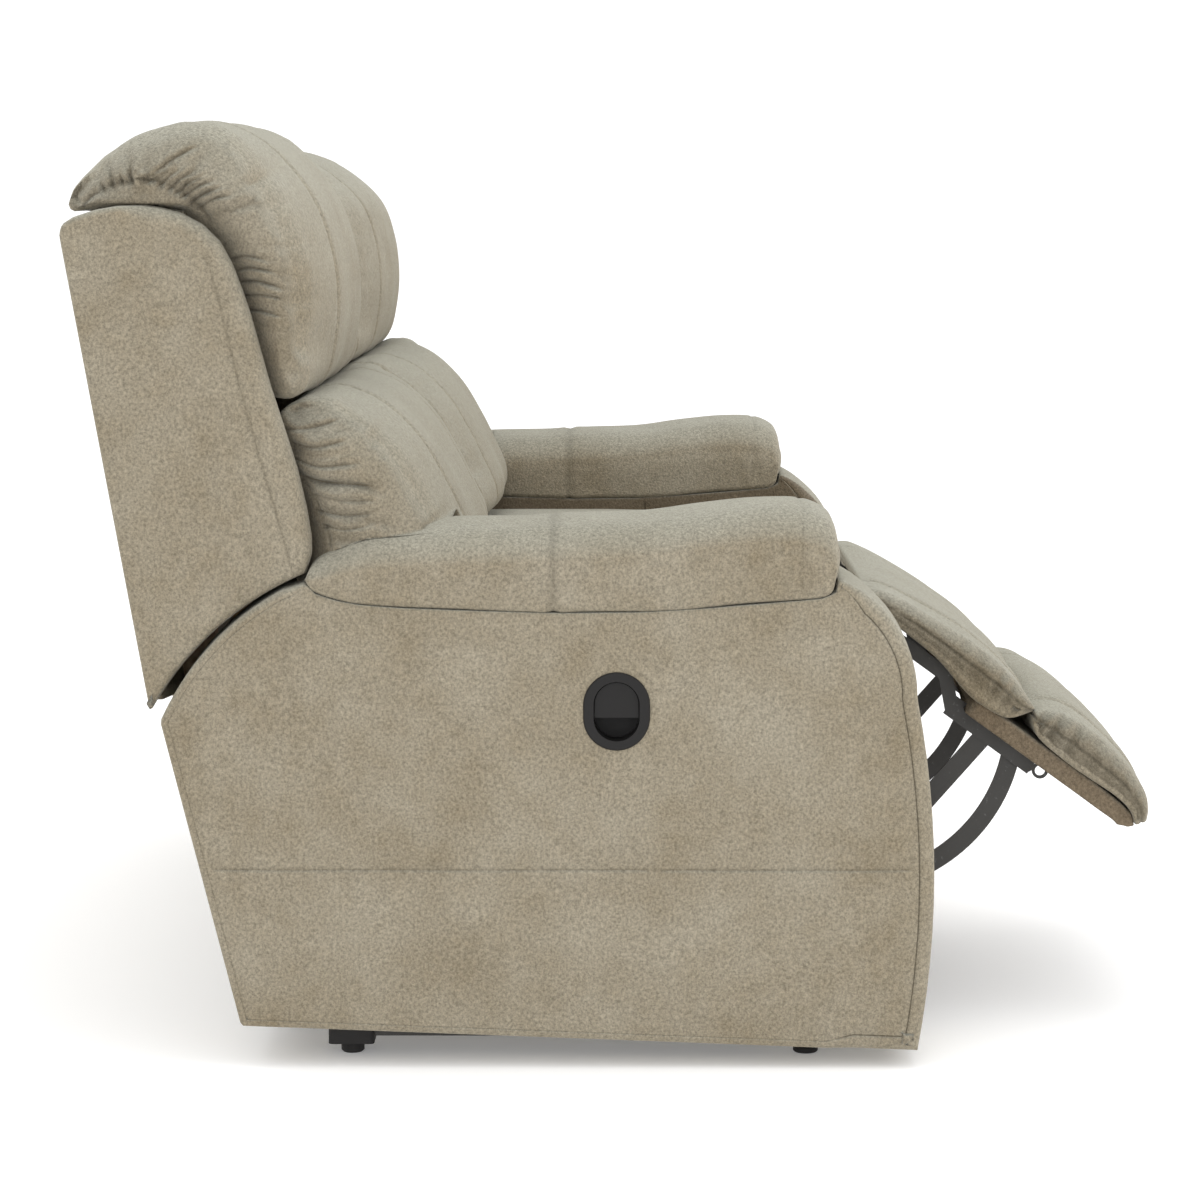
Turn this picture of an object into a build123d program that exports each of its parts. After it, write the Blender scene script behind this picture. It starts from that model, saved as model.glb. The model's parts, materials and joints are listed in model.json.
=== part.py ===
from build123d import *
import os
from math import atan2, cos, degrees, radians, sin

# Two-seat reclining loveseat: two upholstered arms, two reclining backs, two sliding seats,
# and a linkage footrest on each seat.  The right footrest is stored part open, the left one closed.
#
# Frame: +X towards the sitter's left, -Y to the front, +Z up, origin on the floor under the
# middle of the whole part.  Side outlines are written as (forward, up) pairs in millimetres,
# with forward counted from the reference line that the mechanism is laid out on.

os.makedirs("parts", exist_ok=True)

# ---- overall ---------------------------------------------------------------------------
WIDTH = 1600.0
ARM_WIDTH = 200.0
SEAT_PITCH = (WIDTH - 2 * ARM_WIDTH) / 2      # one seat place, arm to middle
MIDDLE_GAP = 6.0                              # each seat stays this far from its neighbours
CENTRE_Y = 34.5                               # places the middle of the depth at y = 0
SIDES = {"right": -1, "left": 1}

# ---- back recline ------------------------------------------------------------------------
PIVOT = (-199.3, 257.4)                       # hinge of the back on the base
ARM_ARC = 307.6                               # arm's rear top, concentric with the hinge
WING_ARC = 313.0                              # lower edge of the wing, clear of the arm
PIN_R = 7.0
RUNNING = 0.05                                # radial clearance of a turning pin

# ---- footrest linkage --------------------------------------------------------------------
HINGE = (292.0, 495.0)                        # footrest hinge on the seat's side plate
STORED_SLOPE = -36.0                          # slope of the half-open footrest
LINK_FOOT = (166.0, 351.0)                    # rear link's pivot on the seat's side plate
KNEE = (322.0, 191.0)                         # rear link to straight link
LOW_KNEE = (350.0, 165.0)                     # rear link to curved link
LINK_RUN = (126.0, 144.0)                     # from each knee to its pivot on the footrest
LINK_HALF = 11.0                              # half the width of a link bar
RIVET_R = 5.0
OPEN_ANGLE = {"right": 0.0, "left": -54.0}    # how far each footrest is turned when stored

# distances of the steel layers from the middle of a seat, inner face of each
CURVED_LAYER, STRAIGHT_LAYER, REAR_LAYER, SIDE_LAYER = 238.0, 242.0, 246.0, 250.0
STEEL = 3.0
BRACKET_LAYER, BRACKET_STEEL = 280.0, 4.0
UPRIGHT_LAYER = 286.0

# ---- soft parts and panels ---------------------------------------------------------------
COVER_WALL = 10.0
WING_THICK = 42.0
INNER_WING_THICK = 12.0
PANEL_THICK = 14.0
BACK_SIDE = 10.0                              # the wing is inset this far from the arm panel
FLOOR_CLEAR = 14.0                            # height of a foot's glide

# ---- handle ------------------------------------------------------------------------------
HANDLE_AT = (18.0, 397.0)
BEZEL_SIZE = (73.0, 86.0)
MOUTH_SIZE = (50.0, 65.0)
CUP_WALL = 4.0
CUP_DEPTH = 30.0
BEZEL_PROUD = 6.0
PADDLE_GAP = 1.2
PADDLE_AXIS_UP = 23.0                         # above the bezel's centre


def at(point):
    """A (forward, up) pair as local coordinates of a YZ sketch plane."""
    return (CENTRE_Y - point[0], point[1])


def turned(point, centre, angle):
    """A (forward, up) pair turned about another; a positive angle lifts the front."""
    c, s = cos(radians(angle)), sin(radians(angle))
    u, z = point[0] - centre[0], point[1] - centre[1]
    return (centre[0] + u * c - z * s, centre[1] + u * s + z * c)


def shifted(point, by):
    return (point[0] + by[0], point[1] + by[1])


def on_pivot_arc(radius, angle):
    """Point behind the back's hinge, at an angle up from the level."""
    return (PIVOT[0] - radius * cos(radians(angle)), PIVOT[1] + radius * sin(radians(angle)))


def on_footrest(along, proud, angle):
    """Point given along and out from the footrest's hinge line, at a footrest angle."""
    slope = radians(STORED_SLOPE)
    flat = (HINGE[0] + along * cos(slope) - proud * sin(slope),
            HINGE[1] + along * sin(slope) + proud * cos(slope))
    return turned(flat, HINGE, angle)


def seat_middle(side):
    return SIDES[side] * SEAT_PITCH / 2


def slab(points, x, thick):
    """Flat plate with straight-sided (forward, up) outline, from x to x + thick."""
    with BuildPart() as piece:
        with BuildSketch(Plane.YZ.offset(x)):
            with BuildLine():
                Polyline([at(p) for p in points], close=True)
            make_face()
        extrude(amount=thick)
    return piece.part


def rod(centre, radius, x, length):
    """Round bar along X."""
    with BuildPart() as piece:
        with BuildSketch(Plane.YZ.offset(x)):
            with Locations(at(centre)):
                Circle(radius)
        extrude(amount=length)
    return piece.part


def block(forward, up, x):
    """Rectangular bar from three (low, high) ranges."""
    corners = [(forward[0], up[0]), (forward[1], up[0]), (forward[1], up[1]), (forward[0], up[1])]
    return slab(corners, x[0], x[1] - x[0])


def strap(points, half, x, thick, holes=(), hole_r=RIVET_R + RUNNING):
    """Bar of even width along (forward, up) points, with round ends and pin holes."""
    with BuildPart() as piece:
        with BuildSketch(Plane.YZ.offset(x)):
            for start, end in zip(points, points[1:]):
                run = Vector(*at(end)) - Vector(*at(start))
                middle = (Vector(*at(start)) + Vector(*at(end))) / 2
                with Locations(middle):
                    SlotCenterToCenter(run.length, 2 * half, rotation=degrees(atan2(run.Y, run.X)))
            with Locations([at(hole) for hole in holes]):
                Circle(hole_r, mode=Mode.SUBTRACT)
        extrude(amount=thick)
    return piece.part


def bowed_strap(start, end, bow, half, x, thick):
    """Link bar that bows down and to the front between its two pins."""
    run = Vector(*end) - Vector(*start)
    out = Vector(run.Y, -run.X).normalized() * bow
    middle = (Vector(*start) + Vector(*end)) / 2 + out
    with BuildPart() as piece:
        with BuildSketch(Plane.YZ.offset(x)):
            with BuildLine(mode=Mode.PRIVATE) as path:
                ThreePointArc(at(start), at((middle.X, middle.Y)), at(end))
            SlotArc(path.line.edge(), 2 * half)
            with Locations(at(start), at(end)):
                Circle(RIVET_R + RUNNING, mode=Mode.SUBTRACT)
        extrude(amount=thick)
    return piece.part


def both_sides(side, inner, thick):
    """Start positions along X of a layer that stands on both sides of a seat's mechanism."""
    return (seat_middle(side) + inner, seat_middle(side) - inner - thick)


def save(shape, label):
    """Label one finished piece and write it."""
    shape.label = label
    export_step(shape, f"parts/{label}.step")


def save_all(shapes, label):
    """Join pieces into one node, label it and write it."""
    with BuildPart() as joined:
        add(shapes)
    save(joined.part, label)


# =========================================================================================
# Base: arms, rails and feet
# =========================================================================================
ARM_REAR_FOOT = (-395.0, 46.0)
ARM_REAR_CORNER = on_pivot_arc(ARM_ARC, 24.4)
ARM_ARC_MIDDLE = on_pivot_arc(ARM_ARC, 45.0)
ARM_ARC_TOP = on_pivot_arc(ARM_ARC, 64.9)
ARM_SHOULDER = (252.0, 545.0)
ARM_FRONT_TOP = (346.0, 409.0)
ARM_FRONT_FOOT = (350.0, 18.0)
PAD_SEAT_UP = 510.0                           # top of the cover under the arm pad
FRAME_LOW, FRAME_HIGH = 56.0, 92.0            # bottom rails of the arm frame
TOP_RAIL = 468.0                              # underside of the arm frame's top rails
TIMBER = 20.0


def arm_cover(side):
    """Hollow upholstered arm body, open at the bottom, cut for the handle cup."""
    sign = SIDES[side]
    low_x = -WIDTH / 2 if sign < 0 else WIDTH / 2 - ARM_WIDTH
    with BuildPart() as cover:
        with BuildSketch(Plane.YZ.offset(low_x)):
            with BuildLine():
                Line(at(ARM_REAR_FOOT), at(ARM_REAR_CORNER))
                ThreePointArc(at(ARM_REAR_CORNER), at(ARM_ARC_MIDDLE), at(ARM_ARC_TOP))
                Polyline(at(ARM_ARC_TOP), at((-318, 536)), at((-296, 518)), at((-200, PAD_SEAT_UP)),
                         at((240, PAD_SEAT_UP)), at(ARM_SHOULDER))
                ThreePointArc(at(ARM_SHOULDER), at((318, 500)), at(ARM_FRONT_TOP))
                ThreePointArc(at(ARM_FRONT_TOP), at((366, 170)), at(ARM_FRONT_FOOT))
                Line(at(ARM_FRONT_FOOT), at(ARM_REAR_FOOT))
            make_face()
        extrude(amount=ARM_WIDTH)
        underside = cover.faces().filter_by(Axis.X, reverse=True).sort_by(Axis.Z)[0]
        offset(amount=-COVER_WALL, openings=underside)
        with BuildSketch(Plane.YZ.offset(sign * WIDTH / 2)):
            with Locations(at(HANDLE_AT)):
                hole = [size - 2 * CUP_WALL for size in BEZEL_SIZE]
                SlotOverall(hole[1], hole[0], rotation=90)
        extrude(amount=-sign * (COVER_WALL + 1), mode=Mode.SUBTRACT)
    return cover.part


def arm_frame(side):
    """Timber frame inside the arm: two ladder sides joined across at the bottom."""
    middle = SIDES[side] * (WIDTH - ARM_WIDTH) / 2
    half = ARM_WIDTH / 2 - COVER_WALL - 34
    rails = []
    for x in ((middle - half, middle - half + TIMBER), (middle + half - TIMBER, middle + half)):
        rails.append(block((-340, 320), (FRAME_LOW, FRAME_HIGH), x))
        rails.append(block((-340, 230), (TOP_RAIL, TOP_RAIL + 26), x))
        rails.append(block((-340, -304), (FRAME_HIGH, TOP_RAIL), x))
        rails.append(block((194, 230), (FRAME_HIGH, TOP_RAIL), x))
    across = (middle - half, middle + half)
    rails.append(block((-303, -252), (FRAME_LOW, FRAME_HIGH), across))
    rails.append(block((220, 256), (FRAME_LOW, FRAME_HIGH), across))
    return rails


def arm_pad(side):
    """Soft pad on top of the arm."""
    low_x = -WIDTH / 2 if side == "right" else WIDTH / 2 - ARM_WIDTH + 3
    with BuildPart() as pad:
        with BuildSketch(Plane.YZ.offset(low_x)):
            with BuildLine():
                Polyline(at((248, 580)), at((248, 552)), at((236, PAD_SEAT_UP + 3)),
                         at((-198, PAD_SEAT_UP + 3)), at((-293, 522)), at((-312, 540)))
                ThreePointArc(at((-312, 540)), at((-268, 570)), at((-188, 592)))
                Spline(at((-188, 592)), at((-44, 603)), at((110, 612)), at((205, 617)))
                ThreePointArc(at((205, 617)), at((238, 608)), at((248, 580)))
            make_face()
        extrude(amount=ARM_WIDTH - 3)
    return pad.part


def handle_bezel(side):
    """Oval plastic cup set into the arm's outer face, with pin holes for the paddle."""
    sign = SIDES[side]
    face = sign * (WIDTH / 2 + BEZEL_PROUD)
    centre = at(HANDLE_AT)
    with BuildPart() as bezel:
        with BuildSketch(Plane.YZ.offset(face)):
            with Locations(centre):
                SlotOverall(BEZEL_SIZE[1], BEZEL_SIZE[0], rotation=90)
        extrude(amount=-sign * BEZEL_PROUD)
        with BuildSketch(Plane.YZ.offset(face)):
            with Locations(centre):
                SlotOverall(MOUTH_SIZE[1] + 2 * CUP_WALL, MOUTH_SIZE[0] + 2 * CUP_WALL, rotation=90)
        extrude(amount=-sign * (BEZEL_PROUD + CUP_DEPTH))
        fillet(bezel.faces().sort_by(Axis.X)[0 if sign < 0 else -1].edges(), 3)
        with BuildSketch(Plane.YZ.offset(face)):
            with Locations(centre):
                SlotOverall(MOUTH_SIZE[1], MOUTH_SIZE[0], rotation=90)
        extrude(amount=-sign * (BEZEL_PROUD + CUP_DEPTH - CUP_WALL), mode=Mode.SUBTRACT)
        with BuildSketch(Plane.XZ.offset(-centre[0])):
            with Locations((sign * PADDLE_X, HANDLE_AT[1] + PADDLE_AXIS_UP)):
                Circle(PADDLE_PIN_R + RUNNING)
        extrude(amount=PADDLE_PIN_REACH + 0.5, both=True, mode=Mode.SUBTRACT)
    return bezel.part


PADDLE_X = WIDTH / 2 - 2.0                    # pin of the paddle, as a distance from x = 0
PADDLE_PIN_R = 1.5
PADDLE_PIN_REACH = 22.0
PADDLE_THICK = 7.0
PADDLE_LOW = -7.0                             # lower edge, from the bezel's centre


def handle_paddle(side):
    """Finger lever that fills the upper part of the bezel's mouth, with its pivot pin."""
    sign = SIDES[side]
    centre = at(HANDLE_AT)
    face = sign * (PADDLE_X + PADDLE_THICK / 2)
    with BuildPart() as paddle:
        with BuildSketch(Plane.YZ.offset(face)):
            with Locations(centre):
                SlotOverall(MOUTH_SIZE[1] - 2 * PADDLE_GAP, MOUTH_SIZE[0] - 2 * PADDLE_GAP, rotation=90)
            with Locations((centre[0], centre[1] + PADDLE_LOW - MOUTH_SIZE[1] / 2)):
                Rectangle(*MOUTH_SIZE, mode=Mode.SUBTRACT)
        extrude(amount=-sign * PADDLE_THICK)
        with BuildSketch(Plane.XZ.offset(-centre[0])):
            with Locations((sign * PADDLE_X, HANDLE_AT[1] + PADDLE_AXIS_UP)):
                Circle(PADDLE_PIN_R)
        extrude(amount=PADDLE_PIN_REACH, both=True)
    return paddle.part


for side in SIDES:
    save(arm_cover(side), f"{side}_arm_cover")
    save_all(arm_frame(side), f"{side}_arm_frame")
    save(arm_pad(side), f"{side}_arm_pad")
    save(handle_bezel(side), f"{side}_handle_bezel")
    save(handle_paddle(side), f"{side}_handle_paddle")

BETWEEN_ARMS = (-WIDTH / 2 + ARM_WIDTH, WIDTH / 2 - ARM_WIDTH)
FRONT_RAIL = (222.0, 247.0)
REAR_RAIL = [(-395, 46), (-408.5, 100), (-392.5, 100), (-379, 46)]
save(block(FRONT_RAIL, (16, 58), BETWEEN_ARMS), "front_rail")
save(slab(REAR_RAIL, BETWEEN_ARMS[0], BETWEEN_ARMS[1] - BETWEEN_ARMS[0]), "rear_rail")
save(block((-376, FRONT_RAIL[0]), (20, 62), (-10, 10)), "middle_beam")

FOOT_LINES = (-720.0, 0.0, 720.0)             # feet stand under both arms and the middle
REAR_FOOT = (-303.0, -252.0)
SKID = (22.0, FRAME_LOW)
skids = [block((REAR_FOOT[1], 245), SKID, (x - 20, x + 20)) for x in (FOOT_LINES[0], FOOT_LINES[2])]
save_all(skids, "arm_skids")


def rear_foot(x):
    """Block foot on a round glide."""
    middle = (REAR_FOOT[0] + REAR_FOOT[1]) / 2
    top = FRAME_LOW if x else 20.0
    with BuildPart() as foot:
        with BuildSketch(Plane.XY.offset(FLOOR_CLEAR)):
            with Locations((x, CENTRE_Y - middle)):
                RectangleRounded(56, REAR_FOOT[1] - REAR_FOOT[0], 6)
        extrude(amount=top - FLOOR_CLEAR)
        with BuildSketch():
            with Locations((x, CENTRE_Y - middle)):
                Circle(13)
        extrude(amount=FLOOR_CLEAR)
        chamfer(foot.faces().sort_by(Axis.Z)[0].edges(), 2)
    return foot.part


def front_glide(x):
    """Round glide on a short stem."""
    with BuildPart() as glide:
        with Locations((x, CENTRE_Y - 230)):
            Cylinder(14, 6, align=(Align.CENTER, Align.CENTER, Align.MIN))
            Cylinder(5, (SKID[0] if x else 16), align=(Align.CENTER, Align.CENTER, Align.MIN))
        chamfer(glide.faces().sort_by(Axis.Z)[0].edges(), 1.5)
    return glide.part


save_all([rear_foot(x) for x in FOOT_LINES], "rear_feet")
save_all([front_glide(x) for x in FOOT_LINES], "front_glides")

TRACK = (318.0, 334.0)                        # height of the seat's track
TRACK_RUN = (-240.0, 130.0)
UPRIGHT_TOP = 300.0


def base_rails(side):
    """Steel underframe of one seat: angle rails, cross tubes, uprights, tracks, hinge pins."""
    pieces = []
    for sign in (-1, 1):
        middle = seat_middle(side)

        def x(inner, outer):
            return tuple(sorted((middle + sign * inner, middle + sign * outer)))

        wall = x(UPRIGHT_LAYER, UPRIGHT_LAYER + STEEL)
        pieces.append(block((-378, FRONT_RAIL[0]), (27, 62), wall))
        pieces.append(block((-378, FRONT_RAIL[0]), (27, 30), x(268, UPRIGHT_LAYER)))
        pieces.append(block((-225, -172), (62, UPRIGHT_TOP), wall))
        pieces.append(block((60, 110), (62, UPRIGHT_TOP), wall))
        pieces.append(block(TRACK_RUN, (UPRIGHT_TOP, TRACK[1]), wall))
        pieces.append(block(TRACK_RUN, TRACK, x(268, UPRIGHT_LAYER)))
        pin = x(BRACKET_LAYER - 4, UPRIGHT_LAYER + STEEL)
        pieces.append(rod(PIVOT, PIN_R, pin[0], pin[1] - pin[0]))
    for forward in (-300, 175):
        pieces.append(rod((forward, 40), 12, middle - UPRIGHT_LAYER, 2 * UPRIGHT_LAYER))
    return pieces


for side in SIDES:
    save_all(base_rails(side), f"{side}_base_rails")

# =========================================================================================
# Back: rear panel, wings, frame, steel brackets and two pillows on each side
# =========================================================================================
BACK_OUTER = WIDTH / 2 - BACK_SIDE
BACK_INNER = 5.0
REAR_LOW, REAR_KNEE, REAR_TOP = (-424.0, 175.0), (-492.0, 395.0), (-581.0, 905.0)


def spread(side, inner, outer):
    """Range along X between two distances from the middle plane, on one side."""
    return tuple(sorted((SIDES[side] * inner, SIDES[side] * outer)))


def back_panel(side):
    """Rear and top panel: full width above the arm, narrower between the arm and the middle."""
    wide = spread(side, BACK_INNER + INNER_WING_THICK + 0.5, BACK_OUTER - WING_THICK - 0.5)
    narrow = spread(side, BACK_INNER, SEAT_PITCH - MIDDLE_GAP)
    low_in, knee_in, top_in = (shifted(p, (PANEL_THICK, 0)) for p in (REAR_LOW, REAR_KNEE, REAR_TOP))
    upper = [REAR_KNEE, REAR_TOP, (-557, 936), (-450, 942), (-450, 930), (-551, 924), top_in, knee_in]
    lower = [REAR_LOW, REAR_KNEE, knee_in, low_in]
    return [slab(upper, wide[0], wide[1] - wide[0]), slab(lower, narrow[0], narrow[1] - narrow[0])]


def wing(side, outer):
    """Padded side of the back; the outer one ends above the arm in a concentric arc."""
    if outer:
        x = spread(side, BACK_OUTER - WING_THICK, BACK_OUTER)
    else:
        x = spread(side, BACK_INNER, BACK_INNER + INNER_WING_THICK)
    arc_start = on_pivot_arc(WING_ARC, 67.0)
    with BuildPart() as piece:
        with BuildSketch(Plane.YZ.offset(x[0])):
            with BuildLine():
                Polyline(at(arc_start), at((-316, 561)), at((-335, 616)))
                ThreePointArc(at((-335, 616)), at((-378, 775)), at((-413, 905)))
                ThreePointArc(at((-413, 905)), at((-424, 930)), at((-448, 942)))
                ThreePointArc(at((-448, 942)), at((-502, 944)), at((-557, 936)))
                ThreePointArc(at((-557, 936)), at((-577, 928)), at(REAR_TOP))
                Line(at(REAR_TOP), at(REAR_KNEE))
                ThreePointArc(at(REAR_KNEE), at(on_pivot_arc(WING_ARC + 4, 42)), at(arc_start))
            make_face()
        extrude(amount=x[1] - x[0])
    return piece.part


def back_frame(side):
    """Timber frame of the back: two stiles and three cross rails."""
    stile_rear = PANEL_THICK + 2.0

    def inset(point, by):
        return (point[0] + by, point[1])

    low = (-450.0, 260.0)
    knee = (-492.0, 396.0)
    top = (-574.0, 868.0)
    depth = 44.0
    outline = [inset(low, stile_rear), inset(knee, stile_rear), inset(top, stile_rear),
               inset(top, stile_rear + depth), inset(knee, stile_rear + depth),
               inset(low, stile_rear + depth)]
    pieces = []
    for x in (spread(side, SEAT_PITCH - 20 - 30, SEAT_PITCH - 20), spread(side, 20, 50)):
        pieces.append(slab(outline, x[0], 30))
    inner = spread(side, 50, SEAT_PITCH - 50)
    whole = spread(side, 20, BACK_OUTER - WING_THICK - 2)
    rear_of_lumbar = -500.0 + stile_rear
    pieces.append(block((-438, -408), (270, 320), inner))
    pieces.append(block((rear_of_lumbar + 4, rear_of_lumbar + 34), (560, 610), inner))
    pieces.append(block((-546, -514), (868, 900), whole))
    return pieces


def back_brackets(side):
    """Steel arms from the back frame's stiles forward to the hinge pins."""
    points = [PIVOT, (-400, 312), (-424, 324)]
    return [strap(points, 17, x, BRACKET_STEEL, [PIVOT], PIN_R + RUNNING)
            for x in both_sides(side, BRACKET_LAYER, BRACKET_STEEL)]


def pillow(side, points, outer_at):
    """Plain closed solid of a pillow, its (forward, up) outline a chain of arcs through the points."""
    x = spread(side, 20, outer_at)
    path = [at(p) for p in points] + [at(points[0])]
    with BuildPart() as piece:
        with BuildSketch(Plane.YZ.offset(x[0])):
            with BuildLine():
                for start, middle, end in zip(path[0::2], path[1::2], path[2::2]):
                    ThreePointArc(start, middle, end)
            make_face()
        extrude(amount=x[1] - x[0])
    return piece.part


HEAD_OUTLINE = [(-575, 952), (-554, 988), (-510, 1021), (-443, 1037), (-382, 1024), (-333, 996),
                (-296, 940), (-279, 871), (-277, 815), (-291, 768), (-316, 733), (-345, 722),
                (-362, 759), (-385, 826), (-404, 897), (-420, 942), (-452, 955), (-515, 957)]
LUMBAR_OUTLINE = [(-336, 700), (-310, 722), (-277, 737), (-223, 722), (-179, 679), (-146, 624),
                  (-140, 580), (-170, 556), (-240, 550), (-300, 556), (-330, 600), (-342, 655)]
PILLOW_OUTER = BACK_OUTER - WING_THICK - 4
ARM_TOP_CLEAR = 613.0                         # above the arm pad the lumbar pillow is wider


def lumbar_pillow(side):
    """Lower back pillow: wide above the arm pad, narrow between the arm and the middle."""
    whole = pillow(side, LUMBAR_OUTLINE, PILLOW_OUTER)
    notch = block((-400, -100), (500, ARM_TOP_CLEAR), spread(side, SEAT_PITCH - MIDDLE_GAP, WIDTH))
    with BuildPart() as piece:
        add(whole)
        add(notch, mode=Mode.SUBTRACT)
    return piece.part


for side in SIDES:
    save_all(back_panel(side), f"{side}_back_panel")
    save(wing(side, True), f"{side}_outer_wing")
    save(wing(side, False), f"{side}_inner_wing")
    save_all(back_frame(side), f"{side}_back_frame")
    save_all(back_brackets(side), f"{side}_back_brackets")
    save(pillow(side, HEAD_OUTLINE, PILLOW_OUTER), f"{side}_head_pillow")
    save(lumbar_pillow(side), f"{side}_lumbar_pillow")

# =========================================================================================
# Seat: side plates, timber frame, springs and cushion
# =========================================================================================
SEAT_REAR, SEAT_FRONT = -296.0, 262.0
CUSHION = (410.0, 530.0)
FRAME_UP = (345.0, 400.0)
PLATE_OUTLINE = [(-288, 340), (-288, 372), (260, 372), (265, 404), (266, 450), (280, 503), (292, 506),
                 (300, 502), (303, 494), (291, 483), (289, 400), (272, 352), (190, 334), (150, 330),
                 (100, 340)]


def seat_side_plates(side):
    """Pressed steel plates that carry the linkage, with runners that slide on the tracks."""
    pieces = []
    for x in both_sides(side, SIDE_LAYER, STEEL):
        pieces.append(slab(PLATE_OUTLINE, x, STEEL))
    for x in both_sides(side, SIDE_LAYER + STEEL, 31):
        pieces.append(block((-200, 150), (TRACK[1] + 1, TRACK[1] + 4), (x, x + 31)))
    return pieces


def seat_pins(side):
    """Studs on the side plates that the rear links and the footrest turn on."""
    pieces = []
    for x in both_sides(side, REAR_LAYER - 2, SIDE_LAYER - REAR_LAYER + 2):
        pieces.extend(rod(centre, RIVET_R, x, SIDE_LAYER - REAR_LAYER + 2)
                      for centre in (HINGE, LINK_FOOT))
    return pieces


def seat_frame(side):
    """Timber seat box: two side rails, front rail and rear rail."""
    middle = seat_middle(side)
    sides = [block((-286, 258), (FRAME_UP[0] - 6, FRAME_UP[1]), (middle + low, middle + low + TIMBER))
             for low in (254, -274)]
    across = (middle - 254, middle + 254)
    return sides + [block((236, 258), (376, FRAME_UP[1]), across),
                    block((-286, -262), (376, FRAME_UP[1]), across)]


def seat_springs(side):
    """Zigzag wire springs from the rear rail to the front rail."""
    wire, waves, amplitude = 2.0, 10, 22.0
    step = (SEAT_FRONT - SEAT_REAR - 30) / waves
    pieces = []
    for offset_x in (-190, -95, 0, 95, 190):
        start = CENTRE_Y - SEAT_REAR - 15
        points = [(seat_middle(side) + offset_x + (amplitude if i % 2 else -amplitude), start - i * step)
                  for i in range(waves + 1)]
        with BuildPart() as spring:
            with BuildLine(Plane.XY.offset(FRAME_UP[1] + wire + 0.4)) as path:
                FilletPolyline(points, radius=9)
            with BuildSketch(Plane(path.line @ 0, z_dir=path.line % 0)):
                Circle(wire)
            sweep()
        pieces.append(spring.part)
    return pieces


def seat_cushion(side):
    """Plain rounded solid of the seat cushion."""
    middle = seat_middle(side)
    half = SEAT_PITCH / 2 - MIDDLE_GAP - 2
    with BuildPart() as cushion:
        add(block((SEAT_REAR, SEAT_FRONT), CUSHION, (middle - half, middle + half)))
        fillet(cushion.faces().sort_by(Axis.Z)[-1].edges(), 30)
    return cushion.part


for side in SIDES:
    save_all(seat_side_plates(side), f"{side}_seat_side_plates")
    save_all(seat_pins(side), f"{side}_seat_pins")
    save_all(seat_frame(side), f"{side}_seat_frame")
    save_all(seat_springs(side), f"{side}_seat_springs")
    save(seat_cushion(side), f"{side}_seat_cushion")

# =========================================================================================
# Footrest: an exact parallelogram of links carries the board, its pad and the chaise pad
# =========================================================================================
BOARD = (181.0, 424.0, -24.0, -11.0)
CHAISE = (16.0, 238.0, 0.0, 46.0)
FOOT_PAD = (243.0, 432.0, -9.0, 40.0)
EYE_R, EYE_HOLE_R = 9.5, 6.0


def rear_links(side):
    """Bars from the side plates to the knees, joined by a drive tube on their pivot line."""
    angle = OPEN_ANGLE[side]
    knee, low_knee = (turned(p, LINK_FOOT, angle) for p in (KNEE, LOW_KNEE))
    return [strap([LINK_FOOT, knee, low_knee], 12, x, STEEL, [LINK_FOOT])
            for x in both_sides(side, REAR_LAYER, STEEL)]


def drive_tube(side):
    """Tube that makes both sides' rear links turn together."""
    angle = OPEN_ANGLE[side]
    centre = turned((190, 325), LINK_FOOT, angle)
    return rod(centre, 8, seat_middle(side) - REAR_LAYER, 2 * REAR_LAYER)


def link_pins(side):
    """Rivets of the knees, with a spacer that sets the curved link one layer further in."""
    angle = OPEN_ANGLE[side]
    knee, low_knee = (turned(p, LINK_FOOT, angle) for p in (KNEE, LOW_KNEE))
    pieces = []
    for x in both_sides(side, STRAIGHT_LAYER - 1, REAR_LAYER - STRAIGHT_LAYER + 1):
        pieces.append(rod(knee, RIVET_R, x, REAR_LAYER - STRAIGHT_LAYER + 1))
    for x in both_sides(side, CURVED_LAYER - 1, REAR_LAYER - CURVED_LAYER + 1):
        pieces.append(rod(low_knee, RIVET_R, x, REAR_LAYER - CURVED_LAYER + 1))
    return pieces


def straight_links(side):
    """Straight bars from the upper knees to the footrest."""
    knee = turned(KNEE, LINK_FOOT, OPEN_ANGLE[side])
    ends = [knee, shifted(knee, LINK_RUN)]
    return [strap(ends, LINK_HALF, x, STEEL, ends) for x in both_sides(side, STRAIGHT_LAYER, STEEL)]


def curved_links(side):
    """Bowed bars from the lower knees to the footrest."""
    knee = turned(LOW_KNEE, LINK_FOOT, OPEN_ANGLE[side])
    return [bowed_strap(knee, shifted(knee, LINK_RUN), 26, LINK_HALF, x, STEEL)
            for x in both_sides(side, CURVED_LAYER, STEEL)]


def footrest_brackets(side):
    """Side arms of the footrest: hinge strap, board bracket with a spring eye, link studs."""
    angle = OPEN_ANGLE[side]

    def local(along, proud):
        return on_footrest(along, proud, angle)

    top_pin = shifted(turned(KNEE, LINK_FOOT, angle), LINK_RUN)
    low_pin = shifted(turned(LOW_KNEE, LINK_FOOT, angle), LINK_RUN)
    eye = local(296, -38)
    pieces = []
    for x in both_sides(side, REAR_LAYER, STEEL):
        with BuildPart() as bracket:
            add(strap([HINGE, local(22, -12), local(140, -12), local(172, -42), local(280, -42)], 8, x,
                      STEEL, [HINGE]))
            add(rod(eye, EYE_R, x, STEEL))
            add(slab([local(165, -25), local(165, -50), local(286, -50), local(286, -25)], x, STEEL))
            add(rod(eye, EYE_HOLE_R, x, STEEL), mode=Mode.SUBTRACT)
        pieces.append(bracket.part)
    for pin, layer in ((top_pin, STRAIGHT_LAYER), (low_pin, CURVED_LAYER)):
        for x in both_sides(side, layer - 1, REAR_LAYER - layer + 1):
            pieces.append(rod(pin, RIVET_R, x, REAR_LAYER - layer + 1))
    return pieces


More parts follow.
